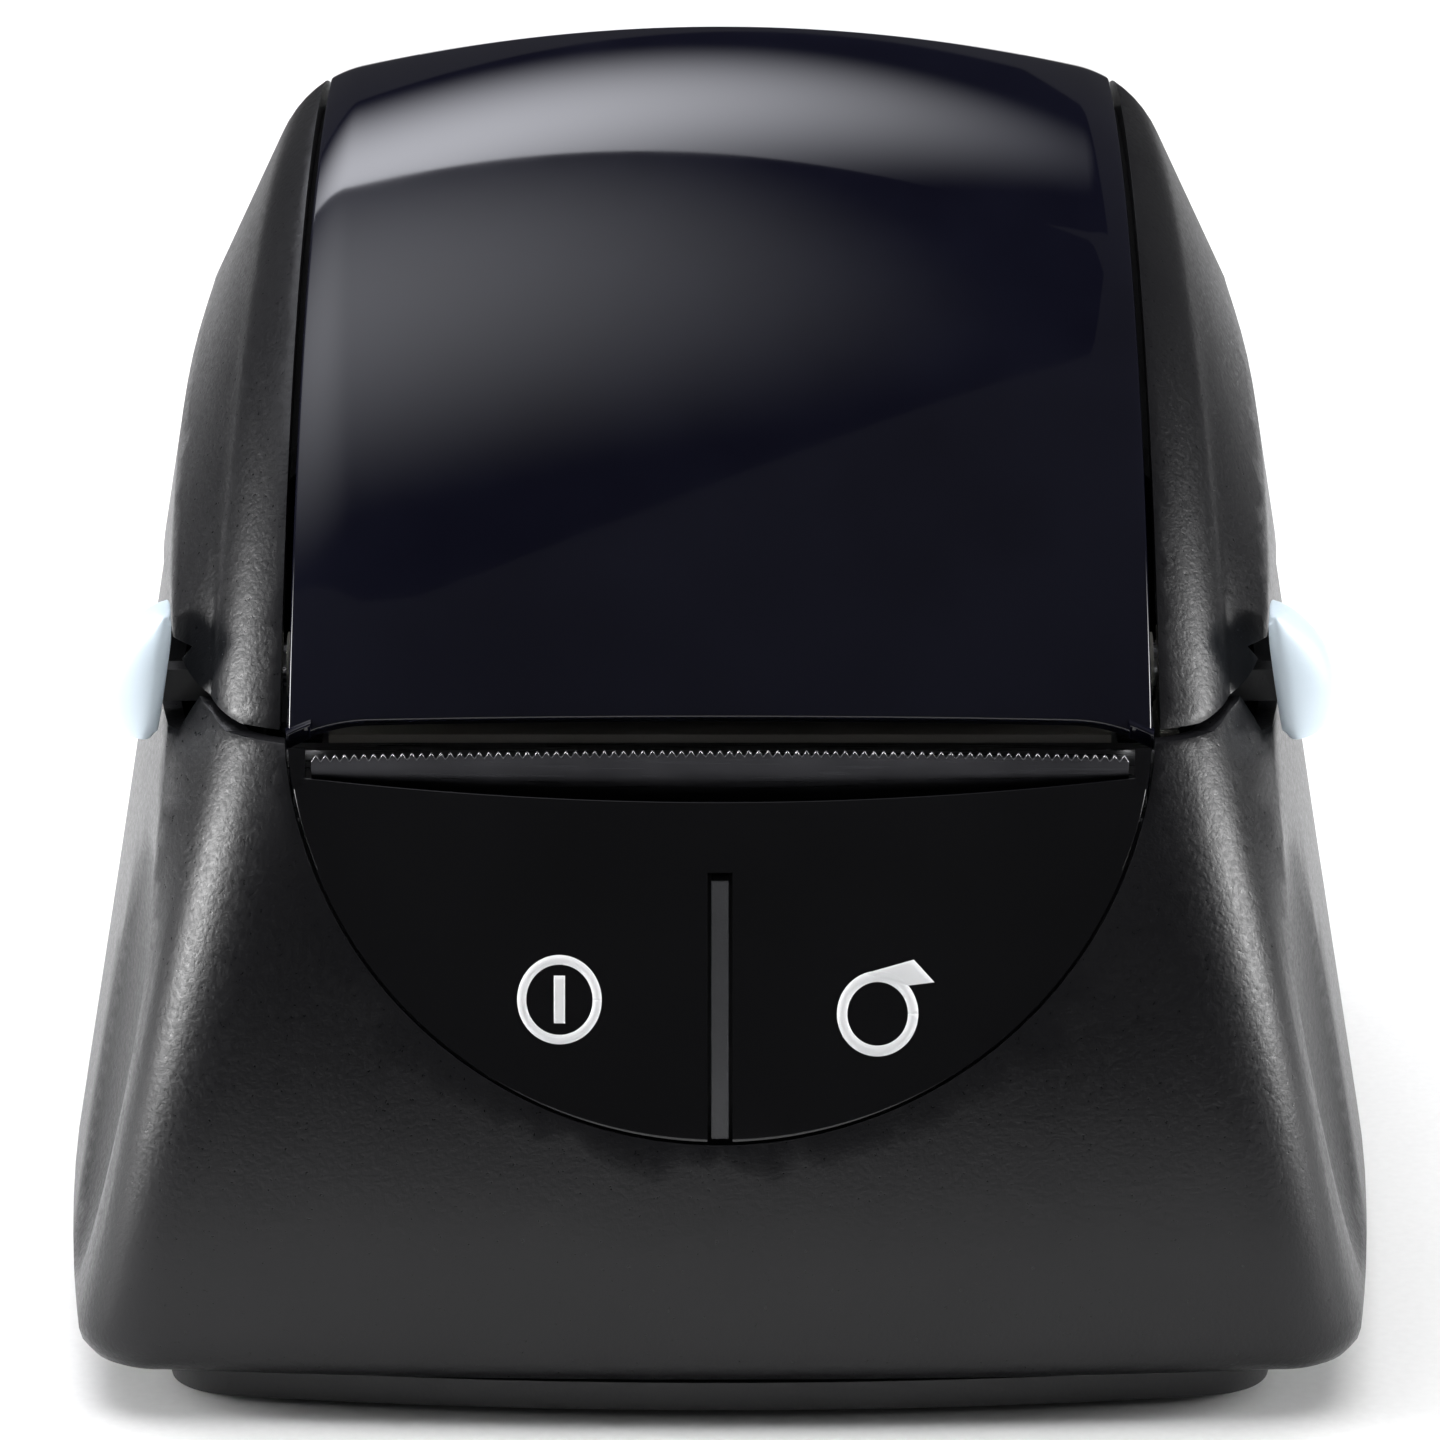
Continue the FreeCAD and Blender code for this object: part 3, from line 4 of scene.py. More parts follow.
import bpy
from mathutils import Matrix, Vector


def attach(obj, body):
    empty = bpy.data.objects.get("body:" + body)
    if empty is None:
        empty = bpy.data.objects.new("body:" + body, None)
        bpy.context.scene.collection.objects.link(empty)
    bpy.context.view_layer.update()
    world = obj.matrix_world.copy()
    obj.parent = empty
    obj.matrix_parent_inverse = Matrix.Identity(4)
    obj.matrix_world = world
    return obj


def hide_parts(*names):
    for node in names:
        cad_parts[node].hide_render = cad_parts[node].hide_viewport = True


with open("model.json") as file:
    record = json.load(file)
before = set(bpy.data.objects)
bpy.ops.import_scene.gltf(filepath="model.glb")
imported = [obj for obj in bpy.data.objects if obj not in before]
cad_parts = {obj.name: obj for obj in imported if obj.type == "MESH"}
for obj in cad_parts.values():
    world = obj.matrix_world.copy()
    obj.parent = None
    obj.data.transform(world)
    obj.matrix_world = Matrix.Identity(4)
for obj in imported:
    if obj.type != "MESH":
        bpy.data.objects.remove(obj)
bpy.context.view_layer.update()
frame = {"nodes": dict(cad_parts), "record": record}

MM = 0.001

# ---------------------------------------------------------------- dimensions, in millimetres
FRONT_R, FRONT_CY, FRONT_CZ, FRONT_BOW = 127.0, 14.5, 19.6, 4.0
TEAR_Y, TEAR_Z, TEAR_HALF, TOOTH_PITCH = -91.4, 90.0, 56.0, 1.31
PANEL_R, PANEL_TILT, PANEL_RISE = 59.2, math.radians(16.0), 7.5
KEY_TOP_Z, KEY_SLOT = 76.0, 3.4
CREST_Y, CREST_Z = 31.0, 169.5
LID_FRONT_Y, LID_FRONT_Z = -86.5, 94.2
WINDOW_HALF, WINDOW_REAR_Y, WINDOW_THICK = 59.3, 74.0, 2.4
HINGE_Y, HINGE_Z = 97.0, 100.0


# ---------------------------------------------------------------- outer form
def front_y(z):
    """Y of the front face on the centre line at height z."""
    return FRONT_CY - math.sqrt(FRONT_R ** 2 - (z - FRONT_CZ) ** 2)


def front_surface(x, z):
    """Y of the bowed front face at x and height z."""
    corner_x = 86.8 - 0.239 * z
    radius = 12 + 8 * z / 90
    bow = FRONT_BOW * (1 - 0.75 * z / 90)
    start = corner_x - radius * math.tan(math.radians(65) / 2)
    bow_r = (start ** 2 + bow ** 2) / (2 * bow)
    return front_y(z) + bow_r - math.sqrt(bow_r ** 2 - min(abs(x), start) ** 2)


def bulge_centre(a, b, radius):
    """Centre of the arc of that radius from a to b that bulges up and outwards."""
    run_y, run_z = b[0] - a[0], b[1] - a[1]
    length = math.hypot(run_y, run_z)
    sagitta = radius - math.sqrt(radius ** 2 - length ** 2 / 4)
    away = sagitta - radius
    return ((a[0] + b[0]) / 2 - run_z / length * away, (a[1] + b[1]) / 2 + run_y / length * away)


LID_FRONT_R, LID_REAR_R = 167.0, 97.0
FRONT_CENTRE = bulge_centre((LID_FRONT_Y, LID_FRONT_Z), (CREST_Y, CREST_Z), LID_FRONT_R)
REAR_CENTRE = bulge_centre((CREST_Y, CREST_Z), (HINGE_Y + 12.2, HINGE_Z + 7.5), LID_REAR_R)


def lid_top(y):
    """Height and slope of the lid on the centre line at depth y."""
    centre, radius = (FRONT_CENTRE, LID_FRONT_R) if y <= CREST_Y else (REAR_CENTRE, LID_REAR_R)
    rise = math.sqrt(radius ** 2 - (y - centre[0]) ** 2)
    return centre[1] + rise, math.atan2(abs(y - centre[0]), rise)


def lid_surface(x, y):
    """Height of the lid's outer surface at x, y."""
    top, slope = lid_top(y)
    share = min(max((y - LID_FRONT_Y) / (CREST_Y - LID_FRONT_Y), 0), 1)
    behind = max((y - CREST_Y) / (HINGE_Y + 12 - CREST_Y), 0)
    crown = 0.9 + 6.6 * share - 4.5 * behind
    corner_x = 66.5 - 3.5 * share + 8.0 * behind ** 2
    radius = (18.0 - 7.0 * behind) / max(math.cos(slope), 0.55) ** 0.5
    corner_z = top - crown * (corner_x / WINDOW_HALF) ** 2
    tilt_top = math.atan(2 * crown * corner_x / WINDOW_HALF ** 2)
    tilt_side = math.atan2(1.0, 0.47 * math.cos(slope))
    reach = radius * math.tan((tilt_side - tilt_top) / 2)
    start_x = corner_x - reach * math.cos(tilt_top)
    start_z = corner_z + reach * math.sin(tilt_top)
    x = abs(x)
    if x <= start_x:
        drop = top - start_z
        ridge_r = (start_x ** 2 + drop ** 2) / (2 * drop)
        return top - ridge_r + math.sqrt(ridge_r ** 2 - x ** 2)
    centre_x = start_x - math.sin(tilt_top) * radius
    centre_z = start_z - math.cos(tilt_top) * radius
    return centre_z + math.sqrt(max(radius ** 2 - (x - centre_x) ** 2, 0))


# ---------------------------------------------------------------- mesh helpers
def link(name, mesh):
    obj = bpy.data.objects.new(name, mesh)
    bpy.context.scene.collection.objects.link(obj)
    return obj


def mesh_object(name, points, faces, smooth_angle=35.0):
    mesh = bpy.data.meshes.new(name)
    mesh.from_pydata([Vector(p) * MM for p in points], [], faces)
    mesh.validate()
    mesh.update()
    for face in mesh.polygons:
        face.use_smooth = True
    mesh.set_sharp_from_angle(angle=math.radians(smooth_angle))
    return link(name, mesh)


def grid_faces(rows, columns, flip=False):
    faces = []
    for i in range(rows - 1):
        for j in range(columns - 1):
            a = i * columns + j
            quad = (a, a + 1, a + columns + 1, a + columns)
            faces.append(quad[::-1] if flip else quad)
    return faces


def settle(obj, angle=40.0):
    """Turns the modifiers' result into the object's own mesh, smooth below the angle."""
    result = bpy.data.meshes.new_from_object(obj.evaluated_get(bpy.context.evaluated_depsgraph_get()))
    obj.modifiers.clear()
    obj.data = result
    for face in result.polygons:
        face.use_smooth = True
    result.set_sharp_from_angle(angle=math.radians(angle))
    return obj


def skin(name, rows, thick, round_r, flat=(), flip=False, segments=4, angle=40.0):
    """Sheet through rows of points, thickened inwards, with rounded rims except on the flat sides.

    Sides are "first", "last" (rows) and "left", "right" (ends of each row)."""
    count, width = len(rows), len(rows[0])
    points = [p for row in rows for p in row]
    obj = mesh_object(name, points, grid_faces(count, width, flip))
    mesh = obj.data
    weight = mesh.attributes.new("bevel_weight_edge", "FLOAT", "EDGE")
    for edge in mesh.edges:
        a, b = sorted(edge.vertices)
        side = None
        if b - a == 1:
            side = "first" if a < width else ("last" if a >= (count - 1) * width else None)
        elif a % width == b % width:
            side = "left" if a % width == 0 else ("right" if a % width == width - 1 else None)
        if side and side not in flat:
            weight.data[edge.index].value = 1.0
    solid = obj.modifiers.new("thickness", "SOLIDIFY")
    solid.thickness = thick * MM
    solid.offset = -1.0
    solid.use_even_offset = True
    bevel = obj.modifiers.new("rim", "BEVEL")
    bevel.limit_method = "WEIGHT"
    bevel.width = round_r * MM
    bevel.segments = segments
    bevel.profile = 0.5
    return settle(obj, angle)


def spread(a, b, count, ends=0.0):
    """Numbers from a to b; ends above 0 gathers them at both ends."""
    values = []
    for i in range(count):
        t = i / (count - 1)
        eased = 0.5 - 0.5 * math.cos(math.pi * t)
        values.append(a + (b - a) * (t * (1 - ends) + eased * ends))
    return values


# ---------------------------------------------------------------- materials
class Nodes:
    """Short hand for building a material's node tree."""

    def __init__(self, name):
        self.material = bpy.data.materials.new(name)
        self.material.use_nodes = True
        self.tree = self.material.node_tree
        self.shader = self.tree.nodes["Principled BSDF"]
        self.coords = self.add("ShaderNodeTexCoord").outputs["Object"]

    def add(self, kind, **values):
        node = self.tree.nodes.new(kind)
        for key, value in values.items():
            setattr(node, key, value)
        return node

    def link(self, output, target):
        self.tree.links.new(output, target)

    def noise(self, scale, detail=2.0, rough=0.5):
        node = self.add("ShaderNodeTexNoise")
        node.inputs["Scale"].default_value = scale
        node.inputs["Detail"].default_value = detail
        node.inputs["Roughness"].default_value = rough
        self.link(self.coords, node.inputs["Vector"])
        return node.outputs["Fac"]

    def ramp(self, value, low, high, at=(0.3, 0.7)):
        node = self.add("ShaderNodeMapRange")
        node.inputs["From Min"].default_value = at[0]
        node.inputs["From Max"].default_value = at[1]
        node.inputs["To Min"].default_value = low
        node.inputs["To Max"].default_value = high
        self.link(value, node.inputs["Value"])
        return node.outputs["Result"]

    def tint(self, value, dark, light, at=(0.3, 0.7)):
        node = self.add("ShaderNodeValToRGB")
        node.color_ramp.elements[0].position = at[0]
        node.color_ramp.elements[0].color = (*dark, 1)
        node.color_ramp.elements[1].position = at[1]
        node.color_ramp.elements[1].color = (*light, 1)
        self.link(value, node.inputs["Fac"])
        return node.outputs["Color"]

    def bump(self, height, strength, distance_mm, under=None):
        node = self.add("ShaderNodeBump")
        node.inputs["Strength"].default_value = strength
        node.inputs["Distance"].default_value = distance_mm * MM
        self.link(height, node.inputs["Height"])
        if under is not None:
            self.link(under, node.inputs["Normal"])
        return node.outputs["Normal"]

    def set(self, **values):
        for key, value in values.items():
            self.shader.inputs[key.replace("_", " ")].default_value = value
        return self

    def use(self, **outputs):
        for key, output in outputs.items():
            self.link(output, self.shader.inputs[key.replace("_", " ")])
        return self.material


def textured_plastic(name, dark, light, rough, grain_mm, depth, coat=0.0, sheen=0.5):
    """Moulded plastic with a spark-eroded grain."""
    n = Nodes(name)
    n.set(IOR=1.5, Specular_IOR_Level=sheen, Coat_Weight=coat, Coat_Roughness=0.3)
    grain = n.noise(1000 / grain_mm, 3.0, 0.6)
    broad = n.noise(45.0, 3.0)
    bumps = n.bump(grain, depth, 0.09)
    return n.use(Base_Color=n.tint(broad, dark, light), Normal=bumps,
                 Roughness=n.ramp(grain, rough - 0.07, rough + 0.08))


def gloss_plastic(name, dark, light, rough, coat=0.3):
    """Polished plastic: a hard gloss with faint hairlines and handling haze."""
    n = Nodes(name)
    n.set(IOR=1.5, Coat_Weight=coat, Coat_Roughness=0.02)
    haze = n.noise(28.0, 4.0, 0.6)
    fine = n.noise(900.0, 2.0)
    return n.use(Base_Color=n.tint(haze, dark, light), Roughness=n.ramp(haze, rough, rough + 0.05),
                 Normal=n.bump(fine, 0.012, 0.01))


def metal(name, dark, light, rough, along="X"):
    """Metal with a drawn grain along one axis."""
    n = Nodes(name)
    n.set(Metallic=1.0)
    mapping = n.add("ShaderNodeMapping")
    stretch = {"X": (0.03, 1, 1), "Y": (1, 0.03, 1), "Z": (1, 1, 0.03)}[along]
    mapping.inputs["Scale"].default_value = stretch
    n.link(n.coords, mapping.inputs["Vector"])
    lines = n.add("ShaderNodeTexNoise")
    lines.inputs["Scale"].default_value = 2600.0
    lines.inputs["Detail"].default_value = 3.0
    n.link(mapping.outputs["Vector"], lines.inputs["Vector"])
    fac = lines.outputs["Fac"]
    patch = n.noise(60.0, 3.0)
    return n.use(Base_Color=n.tint(patch, dark, light), Roughness=n.ramp(fac, rough - 0.08, rough + 0.1),
                 Normal=n.bump(fac, 0.15, 0.02))


def soft_material(name, dark, light, rough, grain_mm, depth):
    """Rubber, acetal, ceramic and other fine-grained solids."""
    n = Nodes(name)
    fine = n.noise(1000 / grain_mm, 3.0)
    patch = n.noise(80.0, 3.0)
    return n.use(Base_Color=n.tint(patch, dark, light), Roughness=n.ramp(fine, rough - 0.05, rough + 0.06),
                 Normal=n.bump(fine, depth, 0.04))


M = {
    "case_black": textured_plastic("case_black", (0.0045, 0.0045, 0.0055), (0.007, 0.007, 0.008),
                                   0.34, 0.8, 0.75, sheen=0.34),
    "panel_gloss": gloss_plastic("panel_gloss", (0.0018, 0.0018, 0.0024), (0.0030, 0.0030, 0.0038), 0.045),
    "smoked_window": gloss_plastic("smoked_window", (0.0030, 0.0030, 0.0065), (0.0048, 0.0050, 0.0100),
                                   0.025, 0.0),
    "latch_blue": textured_plastic("latch_blue", (0.56, 0.66, 0.74), (0.61, 0.70, 0.77),
                                   0.42, 0.5, 0.10, 0.15),
    "inner_black": textured_plastic("inner_black", (0.017, 0.017, 0.018), (0.024, 0.024, 0.025),
                                    0.55, 0.5, 0.35),
    "inner_grey": textured_plastic("inner_grey", (0.045, 0.046, 0.049), (0.058, 0.059, 0.063),
                                   0.5, 0.5, 0.35),
    "gear_white": soft_material("gear_white", (0.70, 0.69, 0.63), (0.78, 0.77, 0.71), 0.4, 0.4, 0.1),
    "rubber_black": soft_material("rubber_black", (0.014, 0.014, 0.014), (0.021, 0.021, 0.021),
                                  0.78, 0.35, 0.4),
    "steel": metal("steel", (0.52, 0.52, 0.54), (0.64, 0.64, 0.66), 0.30),
    "zinc": metal("zinc", (0.50, 0.51, 0.52), (0.62, 0.63, 0.63), 0.38, "Y"),
    "alloy": metal("alloy", (0.56, 0.57, 0.59), (0.66, 0.67, 0.69), 0.36),
    # lighter steel for the upward-facing tops of the tear blade's teeth: a painted highlight
    "blade_painted_highlight": metal("blade_painted_highlight", (0.50, 0.50, 0.52), (0.62, 0.62, 0.64), 0.42),
    # nearly black steel for the rest of the tear blade: painted shade for the darkness its faces reflect
    "blade_painted_shade": metal("blade_painted_shade", (0.020, 0.020, 0.022), (0.032, 0.032, 0.035), 0.32),
    "ceramic": soft_material("ceramic", (0.74, 0.71, 0.64), (0.82, 0.80, 0.74), 0.22, 0.3, 0.05),
    "board_green": soft_material("board_green", (0.010, 0.09, 0.04), (0.02, 0.14, 0.07), 0.32, 0.6, 0.15),
    "chip_black": soft_material("chip_black", (0.016, 0.016, 0.017), (0.026, 0.026, 0.027), 0.5, 0.3, 0.25),
    "cable_white": soft_material("cable_white", (0.66, 0.66, 0.64), (0.76, 0.76, 0.74), 0.45, 0.8, 0.1),
    "legend_white": soft_material("legend_white", (0.80, 0.81, 0.82), (0.88, 0.88, 0.89), 0.42, 0.2, 0.05),
}


def paint(obj, slot_name):
    obj.data.materials.clear()
    obj.data.materials.append(M[slot_name])
    return obj


def finish_piece(obj, slot_name, body, *nodes, record_slot=None):
    paint(obj, slot_name)
    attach(obj, body)
    if nodes:
        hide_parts(*nodes)
    return obj


for part in frame["record"]["subparts"]:
    node = frame["nodes"].get(part["node"])
    if node is not None:
        for place in node.material_slots:
            place.material = M[part["material_slot"]]
        if not node.material_slots:
            node.data.materials.append(M[part["material_slot"]])


def round_edges(node_name, width, angle=50.0):
    """Small rounding on the sharp edges of a CAD moulding."""
    node = frame["nodes"][node_name]
    weld = node.modifiers.new("weld", "WELD")
    weld.merge_threshold = 0.004 * MM
    bevel = node.modifiers.new("edges", "BEVEL")
    bevel.width = width * MM
    bevel.segments = 2
    bevel.limit_method = "ANGLE"
    bevel.angle_limit = math.radians(angle)
    bevel.use_clamp_overlap = True
    bevel.harden_normals = True


for moulding in ("lower_housing", "lid_shell"):
    round_edges(moulding, 0.35)


# ---------------------------------------------------------------- front panel and keys
def panel_point(x, z):
    return (x, front_surface(x, z), z)


def outline_x(z):
    """Half-width of the round panel at height z."""
    x = 0.0
    for _ in range(6):
        y = front_surface(x, z)
        across = (z - TEAR_Z - PANEL_RISE) * math.cos(PANEL_TILT) + (y - TEAR_Y) * math.sin(PANEL_TILT)
        x = math.sqrt(max(PANEL_R ** 2 - across ** 2, 0))
    return x


def outline_z(x):
    """Height of the panel's round lower edge at x."""
    low, high = 30.0, 90.0
    for _ in range(30):
        middle = (low + high) / 2
        if outline_x(middle) < abs(x):
            low = middle
        else:
            high = middle
    return high


def key_skin(sign):
    name = "key_skin_right" if sign > 0 else "key_skin_left"
    rows = []
    for x in spread(KEY_SLOT / 2, outline_x(KEY_TOP_Z) - 0.01, 110, 0.5):
        low = outline_z(x)
        rows.append([panel_point(sign * x, z) for z in spread(low, KEY_TOP_Z, 60, 0.4)])
    obj = skin(name, rows, 2.4, 0.45, flat=("right",), flip=sign > 0)
    body = "feed_key" if sign > 0 else "power_key"
    return finish_piece(obj, "panel_gloss", body, body)


def panel_top(x):
    """Height of the upper panel's rim: a shallow dip in front of the teeth."""
    half = TEAR_HALF + 0.3
    return 87.3 - 2.6 * max(1 - (x / half) ** 2, 0)


def upper_panel():
    rows = []
    for i in range(141):
        t = -1 + 2 * i / 140
        column = []
        for j in range(26):
            s = j / 25
            z = KEY_TOP_Z + s * 11.0
            x = t * outline_x(z)
            z = KEY_TOP_Z + s * (panel_top(x) - KEY_TOP_Z)
            column.append(panel_point(t * outline_x(z), z))
        rows.append(column)
    obj = skin("upper_panel", rows, 2.4, 0.5, flat=("left",), flip=True)
    return finish_piece(obj, "panel_gloss", "base", "front_panel")


def panel_shoulder(sign):
    """Short end of the panel beside the tear bar, up to the lid."""
    rows = []
    for x in spread(TEAR_HALF + 0.5, PANEL_R - 0.05, 8):
        rows.append([panel_point(sign * min(x, outline_x(z) - 0.02), z)
                     for z in spread(86.0, TEAR_Z + 0.8, 14)])
    obj = skin("panel_shoulder_" + ("right" if sign > 0 else "left"), rows, 2.6, 0.35, flip=sign > 0)
    return finish_piece(obj, "panel_gloss", "base")


def pocket():
    """Floor of the notch in the panel, in front of the blade."""
    rows = []
    for x in spread(-TEAR_HALF - 0.3, TEAR_HALF + 0.3, 60):
        top = panel_top(x)
        y0 = front_surface(x, top) + 0.8
        rows.append([(x, y0 + (-90.9 - y0) * step / 4, top - 1.3) for step in range(5)])
    obj = skin("tear_pocket", rows, 0.8, 0.1, flip=True)
    return finish_piece(obj, "panel_gloss", "base")


TOOTH_STEPS = 8
TOOTH_TALL = 0.85
BLADE_LOW = 83.4
BLADE_CROWN = 0.75


def blade():
    """Serrated strip standing almost upright, with a slightly crowned line of teeth."""
    teeth = int(2 * TEAR_HALF / TOOTH_PITCH)
    sharpness = math.asin(0.9)
    rows = []
    for step in range(teeth * TOOTH_STEPS + 1):
        x = (step / TOOTH_STEPS - teeth / 2) * TOOTH_PITCH
        wave = math.asin(0.9 * math.cos(2 * math.pi * (step / TOOTH_STEPS + 0.5))) / sharpness
        crown = BLADE_CROWN * (1 - (x / TEAR_HALF) ** 2)
        top = 89.65 + crown + wave * TOOTH_TALL / 2
        rows.append([(x, TEAR_Y + (90.5 - z) * 0.14, z) for z in (BLADE_LOW, 86.5, 88.6 + crown, top)])
    obj = skin("tear_blade", rows, 0.55, 0.12, flat=("left", "first", "last"), flip=True, segments=2)
    # the blade's steel is painted nearly black here, as painted shade
    finish_piece(obj, "blade_painted_shade", "base", "tear_bar", record_slot="steel")
    # faces pointing upwards near the teeth take the lighter steel, as a painted highlight
    obj.data.materials.append(M["blade_painted_highlight"])
    for face in obj.data.polygons:
        face.material_index = int(face.normal.z > 0.2 and face.center.z > 88.8 * MM)
    return obj


for side in (-1, 1):
    key_skin(side)
    panel_shoulder(side)
upper_panel()
pocket()
blade()


# ---------------------------------------------------------------- symbols on the keys
def printed(name, loops, body, proud=0.05):
    """Flat printed shape on a key; loops are rows of points (x, z) across its width."""
    points, faces = [], []
    for row in loops:
        for x, z in row:
            points.append((x, front_surface(x, z) - proud, z))
    width = len(loops[0])
    faces = grid_faces(len(loops), width)
    obj = mesh_object(name, points, faces)
    solid = obj.modifiers.new("thickness", "SOLIDIFY")
    solid.thickness = 0.10 * MM
    solid.offset = 0.0
    return finish_piece(obj, "legend_white", body, record_slot="panel_gloss")


def ring(name, cx, cz, inner, outer, body, start=0.0, sweep=360.0, stretch=1.0):
    rows = []
    steps = 96
    for i in range(steps + 1):
        angle = math.radians(start + sweep * i / steps)
        rows.append([(cx + r * math.cos(angle), cz + stretch * r * math.sin(angle))
                     for r in (inner, (inner + outer) / 2, outer)])
    return printed(name, rows, body)


def patch(name, corners, body, steps=10):
    """Four-cornered printed patch; corners run round it."""
    a, b, c, d = corners
    rows = []
    for i in range(steps + 1):
        t = i / steps
        left = (a[0] + (d[0] - a[0]) * t, a[1] + (d[1] - a[1]) * t)
        right = (b[0] + (c[0] - b[0]) * t, b[1] + (c[1] - b[1]) * t)
        rows.append([(left[0] + (right[0] - left[0]) * s / 6, left[1] + (right[1] - left[1]) * s / 6)
                     for s in range(7)])
    return printed(name, rows, body)


ring("power_ring", -21.7, 60.0, 4.5, 5.72, "power_key")
patch("power_bar", [(-22.45, 57.0), (-20.95, 57.0), (-20.95, 63.1), (-22.45, 63.1)], "power_key")
ring("feed_ring", 21.3, 58.2, 4.1, 5.5, "feed_key")
patch("feed_tail", [(19.6, 63.4), (26.2, 65.1), (29.0, 62.2), (25.4, 61.8)], "feed_key")


# ---------------------------------------------------------------- window
def window_skin():
    rows = []
    ys = spread(LID_FRONT_Y, CREST_Y, 90) + spread(CREST_Y, WINDOW_REAR_Y, 36)[1:]
    for y in ys:
        rows.append([(x, y, lid_surface(x, y)) for x in spread(-WINDOW_HALF, WINDOW_HALF, 121, 0.35)])
    obj = skin("window_skin", rows, WINDOW_THICK, 0.55, segments=9, angle=12.0)
    return finish_piece(obj, "smoked_window", "lid", "lid_window")


def window_tab(sign):
    """Tab that hangs from each end of the window's front edge."""
    x0, x1 = sorted((sign * 55.9, sign * WINDOW_HALF))
    rows = []
    for x in spread(x0, x1, 8):
        top = lid_surface(x, LID_FRONT_Y + 0.9)
        rows.append([(x, LID_FRONT_Y - 0.2 + 0.25 * drop, top - drop) for drop in spread(0.2, 2.6, 8)])
    obj = skin("window_tab_" + ("right" if sign > 0 else "left"), rows, 2.0, 0.3)
    return finish_piece(obj, "smoked_window", "lid")


window_skin()
for side in (-1, 1):
    window_tab(side)


# ---------------------------------------------------------------- latches
def side_x(y, z):
    """X of the side wall at y, z."""
    draw = 0.00075 + 0.0000068 * min(z, 90) if y < 5 else 0.0003
    return 99.4 - 0.167 * z - draw * (y - 5) ** 2


LATCH_TRAVEL = 5.5


def latch_tab(sign):
    """Finger tab: a satin shell with a front face that meets its outer face on a soft crease."""
    levels = [(87.2, 79.0, 84.0, 12.0), (88.6, 77.8, 85.2, 14.0), (91.0, 76.8, 85.9, 16.0),
              (94.5, 76.2, 86.2, 17.0), (98.0, 75.9, 85.2, 16.5), (101.0, 75.8, 83.5, 15.0),
              (103.4, 75.8, 81.0, 13.0), (105.0, 76.0, 78.8, 11.0)]
    rows = []
    for z, inner, outer, length in levels:
        lead = -74.0 + 0.05 * abs(z - 94.0)
        crease = inner + (outer - inner) * 0.36

        def wall(y, low=inner):
            return max(low, side_x(y + LATCH_TRAVEL, z) + 0.5)

        rim = [(inner, 0.6), ((inner + crease) / 2, -0.1), (crease, 0.0), ((crease + outer) / 2, 1.6),
               (outer - 0.25, 4.4), (outer, 7.0), (outer - 0.4, length * 0.72), (outer - 1.4, length - 1.0)]
        row = [(max(x, wall(lead + step)), lead + step) for x, step in rim]
        row += [(max(wall(lead + length), outer - 3.2), lead + length),
                (wall(lead + length * 0.5), lead + length * 0.5)]
        rows.append([(sign * x, y, z) for x, y in row])
    count, width = len(rows), len(rows[0])
    points = [p for row in rows for p in row]
    faces = []
    for i in range(count - 1):
        for j in range(width):
            k = (j + 1) % width
            quad = (i * width + j, i * width + k, (i + 1) * width + k, (i + 1) * width + j)
            faces.append(quad)
    faces.append(tuple(range(width))[::-1])
    faces.append(tuple((count - 1) * width + j for j in range(width)))
    if sign < 0:
        faces = [face[::-1] for face in faces]
    obj = mesh_object("latch_tab_" + ("right" if sign > 0 else "left"), points, faces, 180)
    bevel = obj.modifiers.new("soft_edge", "BEVEL")
    bevel.width = 0.5 * MM
    bevel.segments = 2
    bevel.limit_method = "ANGLE"
    bevel.angle_limit = math.radians(60)
    surf = obj.modifiers.new("surface", "SUBSURF")
    surf.levels = 3
    surf.render_levels = 3
    node = "latch_button_right" if sign > 0 else "latch_button_left"
    return finish_piece(obj, "latch_blue", "latch", node)


for side in (-1, 1):
    latch_tab(side)


# ---------------------------------------------------------------- stage, light and camera
def area_light(name, place, aim, size, energy):
    lamp = bpy.data.lights.new(name, "AREA")
    lamp.shape = "RECTANGLE"
    lamp.size, lamp.size_y = size
    lamp.energy = energy
    obj = bpy.data.objects.new(name, lamp)
    bpy.context.scene.collection.objects.link(obj)
    obj.location = place
    obj.rotation_euler = (Vector(aim) - Vector(place)).to_track_quat("-Z", "Y").to_euler()
    return obj


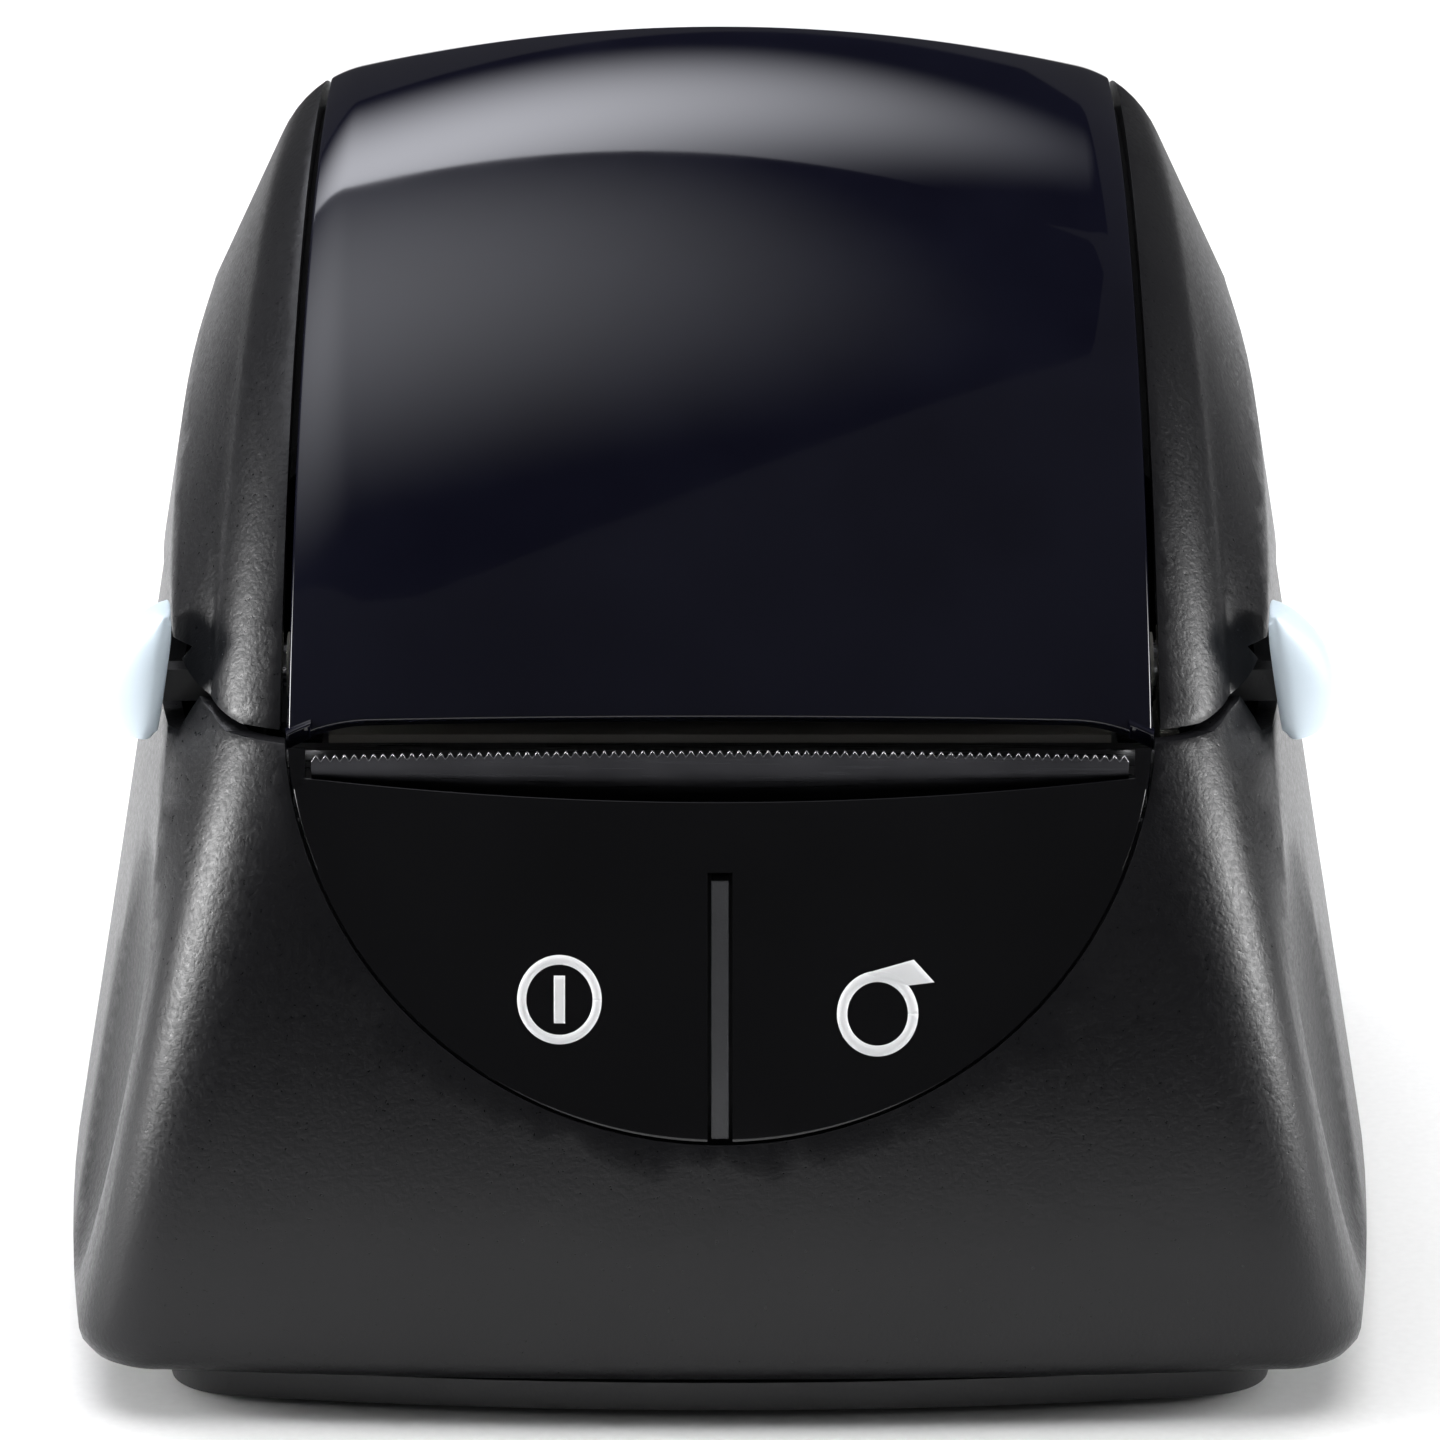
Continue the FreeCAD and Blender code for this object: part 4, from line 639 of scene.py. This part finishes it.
def soft_card(name, place, aim, size, strength, core=0.15, colour=(1, 1, 1)):
    """Diffused light panel: bright in the middle and fading softly to nothing at its rim."""
    points = [(x * size[0] * 500, y * size[1] * 500, 0) for y in (-1, 1) for x in (-1, 1)]
    card = mesh_object(name, points, [(0, 2, 3, 1)])
    card.location = place
    card.rotation_euler = (Vector(aim) - Vector(place)).to_track_quat("-Z", "Y").to_euler()
    material = bpy.data.materials.new(name)
    material.use_nodes = True
    tree = material.node_tree
    tree.nodes.clear()
    coords = tree.nodes.new("ShaderNodeTexCoord")
    centred = tree.nodes.new("ShaderNodeMapping")
    centred.inputs["Scale"].default_value = (2 / size[0], 2 / size[1], 1)
    tree.links.new(coords.outputs["Object"], centred.inputs["Vector"])
    length = tree.nodes.new("ShaderNodeVectorMath")
    length.operation = "LENGTH"
    tree.links.new(centred.outputs["Vector"], length.inputs[0])
    fade = tree.nodes.new("ShaderNodeMapRange")
    fade.interpolation_type = "SMOOTHSTEP"
    fade.inputs["From Min"].default_value = 1.0
    fade.inputs["From Max"].default_value = core
    fade.inputs["To Min"].default_value = 0.0
    fade.inputs["To Max"].default_value = strength
    tree.links.new(length.outputs["Value"], fade.inputs["Value"])
    light = tree.nodes.new("ShaderNodeEmission")
    light.inputs["Color"].default_value = (*colour, 1)
    tree.links.new(fade.outputs["Result"], light.inputs["Strength"])
    end = tree.nodes.new("ShaderNodeOutputMaterial")
    tree.links.new(light.outputs["Emission"], end.inputs["Surface"])
    card.data.materials.append(material)
    card.visible_camera = False
    card.visible_shadow = False
    return card


def stage_floor():
    """Pale flat table, wide enough to fill the picture behind the object."""
    rows = []
    for y in (-3000, -600, 300, 1500, 4000):
        rows.append([(x, y, 0) for x in (-4000, -1500, 0, 1500, 4000)])
    points = [p for row in rows for p in row]
    floor = mesh_object("floor", points, grid_faces(len(rows), 5, True), 60)
    n = Nodes("floor_white")
    n.set(Roughness=0.75)
    paper = n.noise(700.0, 2.0)
    floor.data.materials.append(n.use(Base_Color=n.tint(paper, (0.90, 0.90, 0.90), (0.93, 0.93, 0.93)),
                                      Normal=n.bump(paper, 0.04, 0.02)))


stage_floor()
soft_card("card_above", (-0.45, 1.0, 1.42), (0, 0.0, 0.15), (2.2, 1.2), 5.4, 0.0, (0.92, 0.93, 1.0))
soft_card("card_top", (-0.60, 0.30, 1.5), (0, 0, 0.1), (1.9, 2.0), 2.4, 0.0, (0.94, 0.95, 1.0))
soft_card("card_left", (-1.25, -0.08, 0.45), (0, 0, 0.08), (0.5, 1.0), 40.0)
soft_card("card_right", (1.25, -0.08, 0.45), (0, 0, 0.08), (0.5, 1.0), 33.0)
fill = area_light("floor_fill", (0.0, 0.7, 2.0), (0, 0.7, 0.0), (2.6, 2.6), 62)
fill.visible_glossy = False

world = bpy.data.worlds.new("studio")
world.use_nodes = True
world.node_tree.nodes["Background"].inputs["Color"].default_value = (1, 1, 1, 1)
world.node_tree.nodes["Background"].inputs["Strength"].default_value = 0.07
bpy.context.scene.world = world

lens = bpy.data.cameras.new("camera")
lens.lens = 153.85
lens.sensor_width = 36.0
camera = bpy.data.objects.new("camera", lens)
bpy.context.scene.collection.objects.link(camera)
camera.location = (0.0, -0.8947, 0.3256)
camera.rotation_euler = (math.radians(90 - 16.0), 0, 0)
bpy.context.scene.camera = camera
bpy.context.scene.view_settings.view_transform = "Standard"
